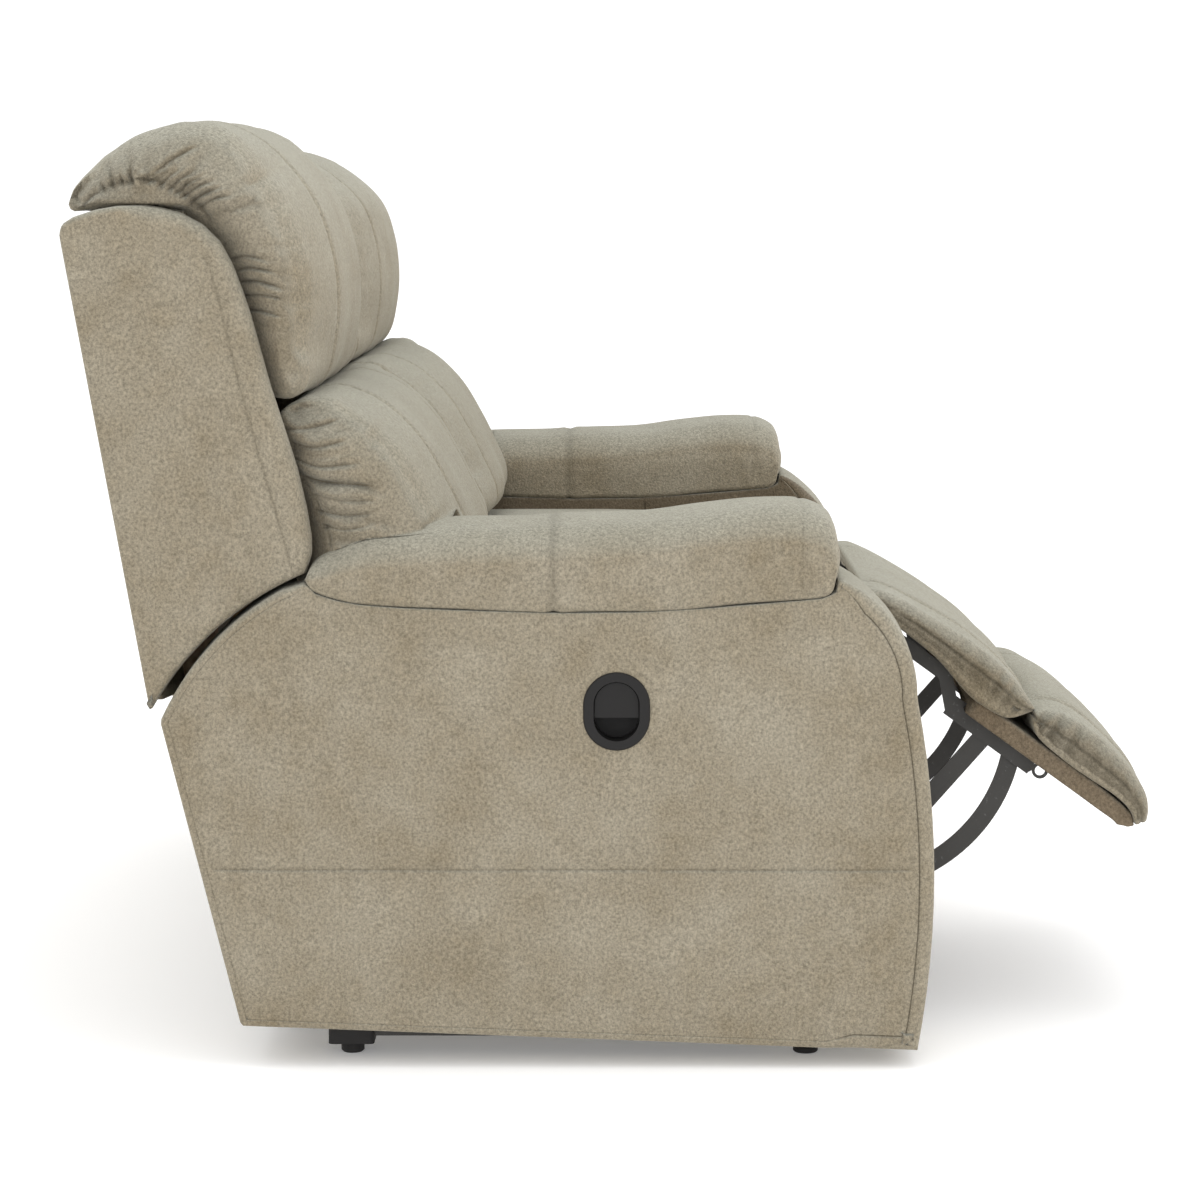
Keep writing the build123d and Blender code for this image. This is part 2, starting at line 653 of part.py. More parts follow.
def footrest_slab(side, along_low, along_high, low, high, half, round_r):
    """Soft or timber slab of the footrest, laid out along its slope."""
    angle = OPEN_ANGLE[side]
    corners = [(along_low, low), (along_low, high), (along_high, high), (along_high, low)]
    points = [on_footrest(*corner, angle) for corner in corners]
    with BuildPart() as piece:
        add(slab(points, seat_middle(side) - half, 2 * half))
        if round_r:
            outward = Vector(0, *at(on_footrest(0, 1, angle))) - Vector(0, *at(HINGE))
            long_edges = piece.edges().filter_by(lambda edge: abs(edge.tangent_at(0.5).X) > 0.9)
            fillet(long_edges.sort_by(lambda edge: edge.center().dot(outward))[-2:], round_r)
    return piece.part


for side in SIDES:
    save_all(rear_links(side) + [drive_tube(side)], f"{side}_rear_links")
    save_all(link_pins(side), f"{side}_link_pins")
    save_all(straight_links(side), f"{side}_straight_links")
    save_all(curved_links(side), f"{side}_curved_links")
    save_all(footrest_brackets(side), f"{side}_footrest_brackets")
    save(footrest_slab(side, *BOARD, 280, 0), f"{side}_footrest_board")
    save(footrest_slab(side, *FOOT_PAD, 290, 34), f"{side}_footrest_pad")
    save(footrest_slab(side, *CHAISE, 292, 16), f"{side}_chaise_pad")
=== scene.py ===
import json
import math

import bmesh
import bpy
import numpy as np
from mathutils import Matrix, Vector
from mathutils.geometry import delaunay_2d_cdt


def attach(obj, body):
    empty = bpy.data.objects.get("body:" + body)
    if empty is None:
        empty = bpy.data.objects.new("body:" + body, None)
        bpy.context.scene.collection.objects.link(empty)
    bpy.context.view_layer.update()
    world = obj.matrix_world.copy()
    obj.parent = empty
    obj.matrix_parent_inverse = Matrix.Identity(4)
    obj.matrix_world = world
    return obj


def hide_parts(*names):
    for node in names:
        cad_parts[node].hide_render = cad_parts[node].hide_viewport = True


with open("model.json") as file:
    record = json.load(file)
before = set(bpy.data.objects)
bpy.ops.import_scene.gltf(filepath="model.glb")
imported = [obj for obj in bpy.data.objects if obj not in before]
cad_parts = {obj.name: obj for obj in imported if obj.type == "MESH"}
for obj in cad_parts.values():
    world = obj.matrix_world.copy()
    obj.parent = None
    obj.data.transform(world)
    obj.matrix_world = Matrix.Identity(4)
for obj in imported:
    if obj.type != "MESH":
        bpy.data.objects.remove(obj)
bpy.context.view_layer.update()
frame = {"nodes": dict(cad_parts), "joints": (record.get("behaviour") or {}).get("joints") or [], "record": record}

JOINTS = {joint["name"]: joint for joint in frame["joints"]}
MM = 0.001
HINGE = np.array([292.0, 495.0])
PIVOT = np.array([-199.3, 257.4])
REF_Y = JOINTS["right_footrest_fold"]["pos_m"][1] / MM + HINGE[0]
STORED_SLOPE = math.radians(-36.0)
CLOSE_TURN = math.radians(-54.0)
SIDES = {"right": -1, "left": 1}
HALF_WIDTH = 800.0
ARM_WIDTH = 200.0
SEAT_MIDDLE = 300.0
SEAT_HALF = 291.0


# ---------------------------------------------------------------- curves and meshes
def place(x, forward, up):
    """Millimetre arrays to metre points in the shared frame."""
    x, forward, up = np.broadcast_arrays(x, forward, up)
    return np.stack([x * MM, (REF_Y - forward) * MM, up * MM], -1)


def turned(points, centre, angle):
    """(forward, up) points turned about a centre; a positive angle lifts the front."""
    p = np.asarray(points, float) - centre
    c, s = np.cos(angle), np.sin(angle)
    return np.stack([p[..., 0] * c - p[..., 1] * s, p[..., 0] * s + p[..., 1] * c], -1) + centre


def smooth(points, count):
    """Catmull-Rom curve through the points, sampled evenly in its parameter."""
    p = np.array(points, float)
    ext = np.vstack([2 * p[0] - p[1], p, 2 * p[-1] - p[-2]])
    t = np.linspace(0, len(p) - 1, count)
    i = np.minimum(t.astype(int), len(p) - 2)
    f = (t - i)[:, None]
    a, b, c, d = ext[i], ext[i + 1], ext[i + 2], ext[i + 3]
    return 0.5 * (2 * b + (c - a) * f + (2 * a - 5 * b + 4 * c - d) * f**2 + (3 * b - a - 3 * c + d) * f**3)


def wavy(values, pitch, seed):
    """Smooth one-dimensional noise from -1 to 1 with bumps about pitch apart."""
    random = np.random.default_rng(seed).uniform(-1, 1, 512)
    t = np.abs(np.asarray(values, float)) / pitch + 3.0
    i = t.astype(int) % 510
    f = t - t.astype(int)
    f = f * f * (3 - 2 * f)
    return random[i] * (1 - f) + random[i + 1] * f


def bump(values, centre, width):
    """Bell from 0 to 1 about a centre."""
    return np.exp(-(((np.asarray(values, float) - centre) / width) ** 2))


def ramp(values, low, high):
    """Smooth step from 0 at low to 1 at high."""
    t = np.clip((np.asarray(values, float) - low) / (high - low), 0, 1)
    return t * t * (3 - 2 * t)


def new_object(name, verts, faces, dark=None, material=None):
    """Mesh object with smooth shading and a per-point painted shade: darkening in seams, folds and shaded sides.
    """
    mesh = bpy.data.meshes.new(name)
    mesh.from_pydata([tuple(v) for v in verts], [], faces)
    mesh.validate()
    mesh.shade_smooth()
    if dark is not None:
        attribute = mesh.attributes.new("painted_shade", "FLOAT", "POINT")
        attribute.data.foreach_set("value", np.clip(dark, 0, 1).astype(np.float32))
    obj = bpy.data.objects.new(name, mesh)
    bpy.context.scene.collection.objects.link(obj)
    if material is not None:
        mesh.materials.append(material)
    return obj


def normals_of(grid):
    """Outward normals of a (ring, loop, 3) grid, closed along the loop."""
    along = np.gradient(grid, axis=0)
    around = np.roll(grid, -1, 1) - np.roll(grid, 1, 1)
    n = np.cross(around, along)
    n /= np.maximum(np.linalg.norm(n, axis=2, keepdims=True), 1e-12)
    centre = grid.mean(1, keepdims=True)
    flip = np.sign(((grid - centre) * n).sum(2).mean())
    return n * flip


def grid_faces(rings, loop):
    """Quads of a tube grid, closed along the loop; the two ends are left open."""
    faces = []
    for r in range(rings - 1):
        for k in range(loop):
            k2 = (k + 1) % loop
            faces.append((r * loop + k, r * loop + k2, (r + 1) * loop + k2, (r + 1) * loop + k))
    return faces


SEAMS_AT = (-196.0, 196.0)                    # the two sewn lines down each pillow and seat
SEAM_DEPTH, SEAM_WIDE = 5.0, 7.0              # how deep a sewn line draws in, and how wide


def pad(name, outer, inner, x_low, x_high, top_r=45.0, bottom_r=8.0, crown=10.0, puff=6.0,
        seams=SEAMS_AT, side_seam=None, rings=130, end_round=22.0,
        cap=(0.0, 0.0), lip=0.0, extra=None, material=None):
    """Closed stuffed piece swept along a strip between an outer and an inner side curve.

    x_low and x_high are its sides, or one value for each ring.  extra(s, x, h, part) returns more
    displacement and painted shade; part is 0 on the bottom, 1 on the sides and 2 on the top.
    """
    out_line, in_line = smooth(outer, rings), smooth(inner, rings)
    x_low = np.broadcast_to(np.asarray(x_low, float), (rings,))
    lip = np.broadcast_to(np.asarray(lip, float), (rings,))
    x_high = np.broadcast_to(np.asarray(x_high, float), (rings,))
    step = np.linalg.norm(np.diff(out_line, axis=0), axis=1)
    s = np.concatenate([[0], np.cumsum(step)])
    thick = np.linalg.norm(out_line - in_line, axis=1)
    up = (out_line - in_line) / np.maximum(thick, 1e-6)[:, None]

    top_t = np.unique(np.concatenate([np.linspace(-1, 1, 37)] + [
        np.linspace(c - 0.055, c + 0.055, 9) for c in (-0.72, 0.72)]))
    corner_t = np.linspace(0, 1, 9)[1:]
    side_t = np.linspace(0, 1, 12)[1:]
    grid, xs, hs, parts = [], [], [], []
    for k in range(rings):
        t = thick[k]
        mid, half = (x_low[k] + x_high[k]) / 2, (x_high[k] - x_low[k]) / 2
        from_end = min(s[k], s[-1] - s[k])
        if from_end < end_round:
            half -= end_round * (1 - math.sqrt(max(0.0, 1 - (1 - from_end / end_round) ** 2)))
        rt, rb = min(top_r, 0.72 * t), min(bottom_r, 0.2 * t)
        flat = half - rt
        seam_u = [np.clip(c / max(flat, 1), -0.98, 0.98) for c in (seams or (-150, 150))]
        warped = np.interp(top_t, [-1, -0.775, -0.72, -0.665, 0.665, 0.72, 0.775, 1],
                           [-1, seam_u[0] - 0.06, seam_u[0], seam_u[0] + 0.06,
                            seam_u[1] - 0.06, seam_u[1], seam_u[1] + 0.06, 1]) if seams else top_t
        top_x = warped[::-1] * flat
        arc = corner_t * math.pi / 2
        right = [(half - rb + rb * math.sin(a), rb - rb * math.cos(a), 0) for a in arc]
        right += [(half, rb + (t - rt - rb) * f, 1) for f in side_t]
        right += [(flat + rt * math.cos(a), t - rt + rt * math.sin(a), 1 + f)
                  for a, f in zip(arc[:-1], corner_t)]
        top = [(x, t, 2) for x in top_x]
        left = [(-x, h, p) for x, h, p in reversed(right)]
        under = [(f * (half - rb), 0.0, 0) for f in np.linspace(-1, 1, 15)]
        loop = np.array(right + top + left + under)
        x, h, part = loop[:, 0].copy(), loop[:, 1].copy(), loop[:, 2].copy()
        share = np.clip(h / max(t, 1e-6), 0, 1)
        x += np.sign(x) * puff * np.clip(part, 0, 1) * np.sin(math.pi * ramp(share, 0.0, 1.0)) \
            * (np.abs(x) > flat * 0.98) * min(1.0, t / 40)
        drop = crown * (np.abs(x) / half) ** 2.2 * np.clip(part - 1, 0, 1)
        h = h - drop * min(1.0, t / 60)
        h = np.where(part < 0.5, h - lip[k] * ramp(np.abs(x), half - 30, half - 22), h)
        flat_pos = in_line[k][None, :] + up[k][None, :] * h[:, None]
        grid.append(place(mid + x, flat_pos[:, 0], flat_pos[:, 1]))
        xs.append(x)
        hs.append(share)
        parts.append(part)
    grid, xs, hs, parts = np.array(grid), np.array(xs), np.array(hs), np.array(parts)
    depth = np.zeros(xs.shape)
    dark = np.zeros(xs.shape)
    tops = ramp(parts, 1.3, 1.8)
    fade = ramp(np.minimum(s, s[-1] - s), 0, 18)[:, None]
    # Each sewn line draws in, with painted shade along its groove.
    for c in seams or ():
        depth -= SEAM_DEPTH * bump(xs, c, SEAM_WIDE) * tops * fade
        dark += 0.9 * bump(xs, c, 1.8) * tops
    # The side seam draws in the same way, with painted shade along it.
    if side_seam is not None:
        sides = ((parts >= 1) & (parts < 1.9)).astype(float)
        depth -= 1.8 * bump(hs * thick[:, None], side_seam * thick[:, None], 2.6) * sides
        dark += 0.9 * bump(hs * thick[:, None], side_seam * thick[:, None], 1.6) * sides
    if extra is not None:
        more, darker = extra(s[:, None] + 0 * xs, xs, hs, parts)
        depth += more * fade
        dark += darker
    grid = grid + normals_of(grid) * (depth * MM)[..., None]
    loop = grid.shape[1]

    def end_cap(ring, before, bulge):
        """Shrinking rings that round off a thick end."""
        centre = ring.mean(0)
        forward = centre - before.mean(0)
        forward /= max(np.linalg.norm(forward), 1e-9)
        return [centre + (ring - centre) * math.cos(a) + forward * bulge * MM * math.sin(a)
                for a in np.radians([25, 50, 70, 84])]

    blocks = [grid]
    dark_blocks = [dark]
    if cap[0]:
        extra_rings = end_cap(grid[0], grid[1], cap[0])
        blocks.insert(0, np.array(extra_rings[::-1]))
        dark_blocks.insert(0, np.zeros((len(extra_rings), loop)))
    if cap[1]:
        extra_rings = end_cap(grid[-1], grid[-2], cap[1])
        blocks.append(np.array(extra_rings))
        dark_blocks.append(np.zeros((len(extra_rings), loop)))
    grid = np.concatenate(blocks)
    dark = np.concatenate(dark_blocks)
    verts = grid.reshape(-1, 3)
    faces = grid_faces(len(grid), loop)
    count = len(verts)
    verts = np.vstack([verts, grid[0].mean(0), grid[-1].mean(0)])
    faces += [((k + 1) % loop, k, count) for k in range(loop)]
    base = (len(grid) - 1) * loop
    faces += [(base + k, base + (k + 1) % loop, count + 1) for k in range(loop)]
    return new_object(name, verts, faces, np.append(dark.ravel(), [0, 0]), material)


def resampled(points, spacing):
    """Closed anticlockwise outline with evenly spaced points."""
    p = np.array(points, float)
    area = np.sum(p[:, 0] * np.roll(p[:, 1], -1) - np.roll(p[:, 0], -1) * p[:, 1])
    if area < 0:
        p = p[::-1]
    p = np.vstack([p, p[:1]])
    step = np.linalg.norm(np.diff(p, axis=0), axis=1)
    s = np.concatenate([[0], np.cumsum(step)])
    count = int(round(s[-1] / spacing))
    t = np.linspace(0, s[-1], count, endpoint=False)
    return np.stack([np.interp(t, s, p[:, i]) for i in (0, 1)], 1)


def nearest_on(line, points):
    """Nearest point of an open polyline to each point."""
    best = np.full(len(points), np.inf)
    found = np.zeros((len(points), 2))
    for a, b in zip(line[:-1], line[1:]):
        ab = b - a
        t = np.clip(((points - a) @ ab) / max(ab @ ab, 1e-9), 0, 1)[:, None]
        q = a + t * ab
        d = np.linalg.norm(points - q, axis=1)
        better = d < best
        best[better], found[better] = d[better], q[better]
    return found, best


def arc(start, through, end, count=12):
    """Points of the circular arc through three points, without the last."""
    (ax, ay), (bx, by), (cx, cy) = start, through, end
    d = 2 * (ax * (by - cy) + bx * (cy - ay) + cx * (ay - by))
    a2, b2, c2 = ax * ax + ay * ay, bx * bx + by * by, cx * cx + cy * cy
    centre = np.array([(a2 * (by - cy) + b2 * (cy - ay) + c2 * (ay - by)) / d,
                       (a2 * (cx - bx) + b2 * (ax - cx) + c2 * (bx - ax)) / d])
    angles = [math.atan2(p[1] - centre[1], p[0] - centre[0]) for p in (start, through, end)]
    a0, a1, a2 = angles
    turn = (a2 - a0) % (2 * math.pi)
    if (a1 - a0) % (2 * math.pi) > turn:
        turn -= 2 * math.pi
    radius = math.hypot(ax - centre[0], ay - centre[1])
    return [(centre[0] + radius * math.cos(a0 + turn * k / count),
             centre[1] + radius * math.sin(a0 + turn * k / count)) for k in range(count)]


def inset(line, distance, spine=None):
    """Closed anticlockwise outline moved inwards, along its normals or towards a spine."""
    d = np.broadcast_to(np.asarray(distance, float), (len(line),))
    if spine is not None:
        q, far = nearest_on(np.array(spine, float), line)
        share = np.clip(d / np.maximum(far, 1e-6), -0.5, 0.8)
        return line + (q - line) * share[:, None]
    e = np.roll(line, -1, 0) - np.roll(line, 1, 0)
    n = np.stack([-e[:, 1], e[:, 0]], 1) / np.maximum(np.linalg.norm(e, axis=1, keepdims=True), 1e-9)
    return line + n * d[:, None]


def inside(points, loop):
    """Which points lie inside a closed loop."""
    x, y = points[:, 0], points[:, 1]
    result = np.zeros(len(points), bool)
    for (x1, y1), (x2, y2) in zip(loop, np.roll(loop, -1, 0)):
        if y1 == y2:
            continue
        crosses = ((y1 > y) != (y2 > y)) & (x < (x2 - x1) * (y - y1) / (y2 - y1) + x1)
        result ^= crosses
    return result


def stuffed(name, outline, x_out, x_in, out_rim, in_rim=None, middle=((0.5, 0.0, 0.0),), spine=None,
            scale=None, faces=(None, None), hole=None, spacing=6.0, step=6.5, ruffle=None, reshape=None,
            crown=None, sewn=(), swell=None, material=None):
    """Sewn piece from a side outline: rounded rims, grooves round it and two shaped side faces.

    out_rim and in_rim are (inset, depth, painted shade) from the side face outwards to the rim; middle is
    (share of the width, inset, painted shade).  faces are functions of (points, distance to the edge) that
    give the side face's bulge and painted shade.  crown is (depth, weight of each outline point): how far the
    outline draws in towards both ends.  sewn are (forward, up) paths that get rows of points of their own.
    swell is the outer side face's smooth bulge; reshape moves every point before the faces' detail.
    """
    line = resampled(outline, spacing)
    loop = len(line)
    sign = 1.0 if x_out > x_in else -1.0
    width = abs(x_out - x_in)
    k = np.ones(loop) if scale is None else np.array([scale(p) for p in line])
    kernel = np.ones(5) / 5
    k = np.convolve(np.concatenate([k[-2:], k, k[:2]]), kernel, "valid")
    in_rim = out_rim if in_rim is None else in_rim
    stations = [(by * k, depth * k, shade, abs(depth)) for by, depth, shade in out_rim]
    stations += [(by + 0 * k, share * width + 0 * k, shade, 1e9) for share, by, shade in middle]
    stations += [(by * k, width - depth * k, shade, abs(depth)) for by, depth, shade in reversed(in_rim)]
    bm = bmesh.new()
    layer = bm.verts.layers.float.new("painted_shade")
    rows, flats = [], []
    s = np.arange(loop) * spacing
    for by, depth, shade, from_face in stations:
        if crown is not None:
            reach = np.abs(np.clip(depth / width, 0, 1) - 0.5) * 2
            by = by + crown[0] * reach ** 2.6 * np.array([crown[1](p) for p in line])
        if ruffle is not None and from_face < 1e8:
            amplitude, pitch, seed = ruffle
            by = by + amplitude * wavy(s, pitch, seed) * math.exp(-(from_face / 60.0) ** 2)
        flat = inset(line, by, spine)
        points = place(x_out - sign * depth, flat[:, 0], flat[:, 1])
        if reshape is not None:
            points = reshape(points)
        row = [bm.verts.new(v) for v in points]
        # Painted shade in the rim's welt and the sewn lines across the middle, scaled down where the rim is tight.
        for v, strength in zip(row, k):
            v[layer] = shade * float(ramp(strength, 0.6, 0.95))
        rows.append(row)
        flats.append(flat)
    for a, b in zip(rows, rows[1:]):
        for i in range(loop):
            j = (i + 1) % loop
            bm.faces.new((a[i], a[j], b[j], b[i]))
    for row, flat, field, side, cut, row_depth in (
            (rows[0], flats[0], faces[0], sign, hole, out_rim[0][1]),
            (rows[-1], flats[-1], faces[1], -sign, None, in_rim[0][1])):
        low, high = flat.min(0), flat.max(0)
        rowed = np.arange(low[1], high[1], step * 0.87)
        grid = np.array([(u + (step / 2 if r % 2 else 0), z) for r, z in enumerate(rowed)
                         for u in np.arange(low[0], high[0], step)])
        grid = grid[inside(grid, flat)]
        edge = np.vstack([flat, flat[:1]])
        keep = nearest_on(edge, grid)[1] > step * 0.55
        grid = grid[keep]
        loops = [flat]
        if cut is not None:
            grid = grid[~inside(grid, cut)]
            grid = grid[nearest_on(np.vstack([cut, cut[:1]]), grid)[1] > step * 0.55]
            loops.append(cut)
        coords, edges = [], []
        for ring in loops:
            first = len(coords)
            coords += [tuple(p) for p in ring]
            edges += [(first + i, first + (i + 1) % len(ring)) for i in range(len(ring))]
        for path in sewn:
            lines = smooth(path, max(int(np.linalg.norm(np.diff(np.array(path, float), axis=0),
                    axis=1).sum() / 5), 4))
            across = np.gradient(lines, axis=0)
            across = np.stack([-across[:, 1], across[:, 0]], 1) / np.linalg.norm(across, axis=1,
                    keepdims=True)
            rows_of = np.vstack([lines + across * off for off in (-4.5, -2.4, -1.0, 0.0, 1.0, 2.4, 4.5)])
            grid = grid[nearest_on(lines, grid)[1] > 4.5 + step * 0.4]
            rows_of = rows_of[inside(rows_of, flat)]
            rows_of = rows_of[nearest_on(edge, rows_of)[1] > 2.5]
            if cut is not None:
                rows_of = rows_of[~inside(rows_of, inset(resampled(cut, 4.0), -3.0))]
            grid = np.vstack([grid, rows_of])
        coords += [tuple(p) for p in grid]
        got = delaunay_2d_cdt([Vector(c) for c in coords], edges, [], 1, 1e-5)
        pts = np.array([tuple(v) for v in got[0]])
        x_face = (x_out if row is rows[0] else x_in) - side * row_depth
        amount, shade = np.zeros(len(pts)), np.zeros(len(pts))
        gap = nearest_on(edge, pts)[1]
        if field is not None:
            amount, shade = field(pts, gap)
        amount = amount * ramp(gap, -1, 12)
        verts = []
        smooth_part = swell(pts) if swell is not None and row is rows[0] else 0.0
        placed = place(x_face + side * smooth_part, pts[:, 0], pts[:, 1])
        if reshape is not None:
            placed = reshape(placed)
        placed[:, 0] += side * amount * MM
        for i, origin in enumerate(got[3]):
            known = [o for o in origin if o < loop]
            if known:
                verts.append(row[known[0]])
                continue
            v = bm.verts.new(placed[i])
            v[layer] = float(np.clip(shade[i], 0, 1))
            verts.append(v)
        for face in got[2]:
            centre = pts[list(face)].mean(0)[None]
            if cut is not None and inside(centre, cut)[0]:
                continue
            corners = [verts[i] for i in face]
            if len(set(corners)) == len(corners):
                try:
                    bm.faces.new(corners)
                except ValueError:
                    pass
    bmesh.ops.recalc_face_normals(bm, faces=bm.faces)
    mesh = bpy.data.meshes.new(name)
    bm.to_mesh(mesh)
    bm.free()
    mesh.shade_smooth()
    obj = bpy.data.objects.new(name, mesh)
    bpy.context.scene.collection.objects.link(obj)
    mesh.materials.append(material)
    return obj


def rim(radius, welt=True):
    """Rounded rim with a sewn welt just inside it: (inset, depth, painted shade) from the face outwards."""
    line = []
    if welt:
        line += [(radius + 8, -0.3, 0), (radius + 5.2, -0.2, 0.1), (radius + 4.2, 1.6, 0.9),
                 (radius + 3.2, -0.2, 0.1)]
    return line + [(radius * (1 - math.sin(a)), radius * (1 - math.cos(a)), 0)
                   for a in np.radians([0, 15, 30, 45, 60, 75, 90])]


# ---------------------------------------------------------------- materials
def tune(node, values):
    """Set inputs of a node by name."""
    for socket, value in values.items():
        node.inputs[socket].default_value = value


def nodes_of(name):
    """New material with its tree, its shader and object coordinates."""
    material = bpy.data.materials.new(name)
    material.use_nodes = True
    tree = material.node_tree
    shader = tree.nodes["Principled BSDF"]
    coords = tree.nodes.new("ShaderNodeTexCoord")
    return material, tree, shader, coords.outputs["Object"]


def noise(tree, coords, scale, detail=2.0, rough=0.5):
    node = tree.nodes.new("ShaderNodeTexNoise")
    tune(node, {"Scale": scale, "Detail": detail, "Roughness": rough})
    tree.links.new(coords, node.inputs["Vector"])
    return node.outputs["Fac"]


def spread_range(tree, value, low, high, to_low=0.0, to_high=1.0):
    node = tree.nodes.new("ShaderNodeMapRange")
    tune(node, {"From Min": low, "From Max": high, "To Min": to_low, "To Max": to_high})
    tree.links.new(value, node.inputs["Value"])
    return node.outputs["Result"]


def mixed(tree, factor, a, b, blend="MIX"):
    """Colour mix; each of the three may be a value or a socket."""
    node = tree.nodes.new("ShaderNodeMix")
    node.data_type = "RGBA"
    node.blend_type = blend
    for socket, value in ((node.inputs[0], factor), (node.inputs[6], a), (node.inputs[7], b)):
        if isinstance(value, (tuple, float)):
            socket.default_value = value if isinstance(value, float) else (*value, 1.0)
        else:
            tree.links.new(value, socket)
    return node.outputs[2]


def maths(tree, operation, a, b):
    node = tree.nodes.new("ShaderNodeMath")
    node.operation = operation
    for socket, value in zip(node.inputs, (a, b)):
        if isinstance(value, (int, float)):
            socket.default_value = value
        else:
            tree.links.new(value, socket)
    return node.outputs[0]


def bumped(tree, shader, height, strength, distance):
    node = tree.nodes.new("ShaderNodeBump")
    tune(node, {"Strength": strength, "Distance": distance})
    tree.links.new(height, node.inputs["Height"])
    tree.links.new(node.outputs["Normal"], shader.inputs["Normal"])


def suede(name, deep, pale, top, nap=0.28):
    """Mottled micro-suede: soft blotches, pebbly nap, painted shade in seams, folds and shaded sides, and painted
    light that makes upper faces paler.
    """
    material, tree, shader, coords = nodes_of(name)
    blotch = spread_range(tree, noise(tree, coords, 9.0, 4.0, 0.6), 0.3, 0.7)
    colour = mixed(tree, blotch, deep, pale)
    cloud = spread_range(tree, noise(tree, coords, 34.0, 5.0, 0.62), 0.32, 0.68, 0.0, 0.36)
    colour = mixed(tree, cloud, colour, pale)
    # Painted light: faces that point up are mixed towards the paler top colour, as if lit from above.
    geometry = tree.nodes.new("ShaderNodeNewGeometry")
    split = tree.nodes.new("ShaderNodeSeparateXYZ")
    tree.links.new(geometry.outputs["Normal"], split.inputs[0])
    wear_and_lit_tops = spread_range(tree, split.outputs["Z"], 0.1, 0.95, 0.0, 0.6)
    colour = mixed(tree, wear_and_lit_tops, colour, top)
    fleck = spread_range(tree, noise(tree, coords, 300.0, 6.0, 0.8), 0.34, 0.66, 0.58, 1.44)
    grey = tree.nodes.new("ShaderNodeCombineColor")
    for socket in grey.inputs[:3]:
        tree.links.new(fleck, socket)
    colour = mixed(tree, 1.0, colour, grey.outputs[0], "MULTIPLY")
    # Painted shade: the per-point painted_shade attribute darkens seams, folds and shaded sides towards a deep
    # brown.
    seam = tree.nodes.new("ShaderNodeAttribute")
    seam.attribute_name = "painted_shade"
    shade = maths(tree, "MULTIPLY", seam.outputs["Fac"], 0.62)
    colour = mixed(tree, shade, colour, tuple(0.16 * c for c in deep))
    tree.links.new(colour, shader.inputs["Base Color"])
    tune(shader, {"Roughness": 0.93, "Specular IOR Level": 0.12, "Sheen Weight": nap,
                  "Sheen Roughness": 0.45, "Sheen Tint": (0.86, 0.85, 0.76, 1.0)})
    pebble = tree.nodes.new("ShaderNodeTexVoronoi")
    pebble.inputs["Scale"].default_value = 420.0
    tree.links.new(coords, pebble.inputs["Vector"])
    fine = maths(tree, "MULTIPLY", noise(tree, coords, 900.0, 3.0, 0.6), 0.6)
    grain = maths(tree, "ADD", pebble.outputs["Distance"], fine)
    soft = maths(tree, "MULTIPLY", noise(tree, coords, 55.0, 3.0, 0.55), 1.6)
    bumped(tree, shader, maths(tree, "ADD", grain, soft), 0.7, 0.001)
    return material


def metal(name, colour, rough, metallic):
    """Painted or plated metal with mottled roughness and light scuffs."""
    material, tree, shader, coords = nodes_of(name)
    patches = noise(tree, coords, 34.0, 5.0, 0.6)
    wear_and_lit_tops = spread_range(tree, noise(tree, coords, 130.0, 6.0, 0.7), 0.62, 0.75, 0.0, 0.4)
    tone = mixed(tree, patches, tuple(0.75 * c for c in colour), tuple(1.25 * c for c in colour))
    tree.links.new(mixed(tree, wear_and_lit_tops, tone, (0.3, 0.3, 0.3)), shader.inputs["Base Color"])
    shader.inputs["Metallic"].default_value = metallic
    tree.links.new(spread_range(tree, patches, 0.3, 0.7, rough - 0.1, rough + 0.1),
                   shader.inputs["Roughness"])
    bumped(tree, shader, noise(tree, coords, 260.0, 2.0), 0.2, 0.0004)
    return material


def plastic(name, colour, rough):
    """Moulded plastic with a fine spark-eroded texture."""
    material, tree, shader, coords = nodes_of(name)
    patches = noise(tree, coords, 60.0, 3.0)
    tree.links.new(mixed(tree, patches, colour, tuple(1.5 * c for c in colour)), shader.inputs["Base Color"])
    tree.links.new(spread_range(tree, patches, 0.3, 0.7, rough - 0.06, rough + 0.08),
                   shader.inputs["Roughness"])
    shader.inputs["Specular IOR Level"].default_value = 0.25
    bumped(tree, shader, noise(tree, coords, 1400.0, 2.0), 0.25, 0.0002)
    return material


def wood(name, pale, dark):
    """Raw sawn hardwood with long grain."""
    material, tree, shader, coords = nodes_of(name)
    stretch = tree.nodes.new("ShaderNodeMapping")
    stretch.inputs["Scale"].default_value = (0.6, 6.0, 6.0)
    tree.links.new(coords, stretch.inputs["Vector"])
    grain = noise(tree, stretch.outputs[0], 18.0, 6.0, 0.65)
    tree.links.new(mixed(tree, spread_range(tree, grain, 0.35, 0.65), pale, dark),
                   shader.inputs["Base Color"])
    shader.inputs["Roughness"].default_value = 0.75
    bumped(tree, shader, grain, 0.3, 0.0008)
    return material


# The third colour of each suede is painted light for faces that point up.
SUEDE = suede("suede", (0.212, 0.175, 0.117), (0.288, 0.256, 0.195), (0.272, 0.277, 0.236))
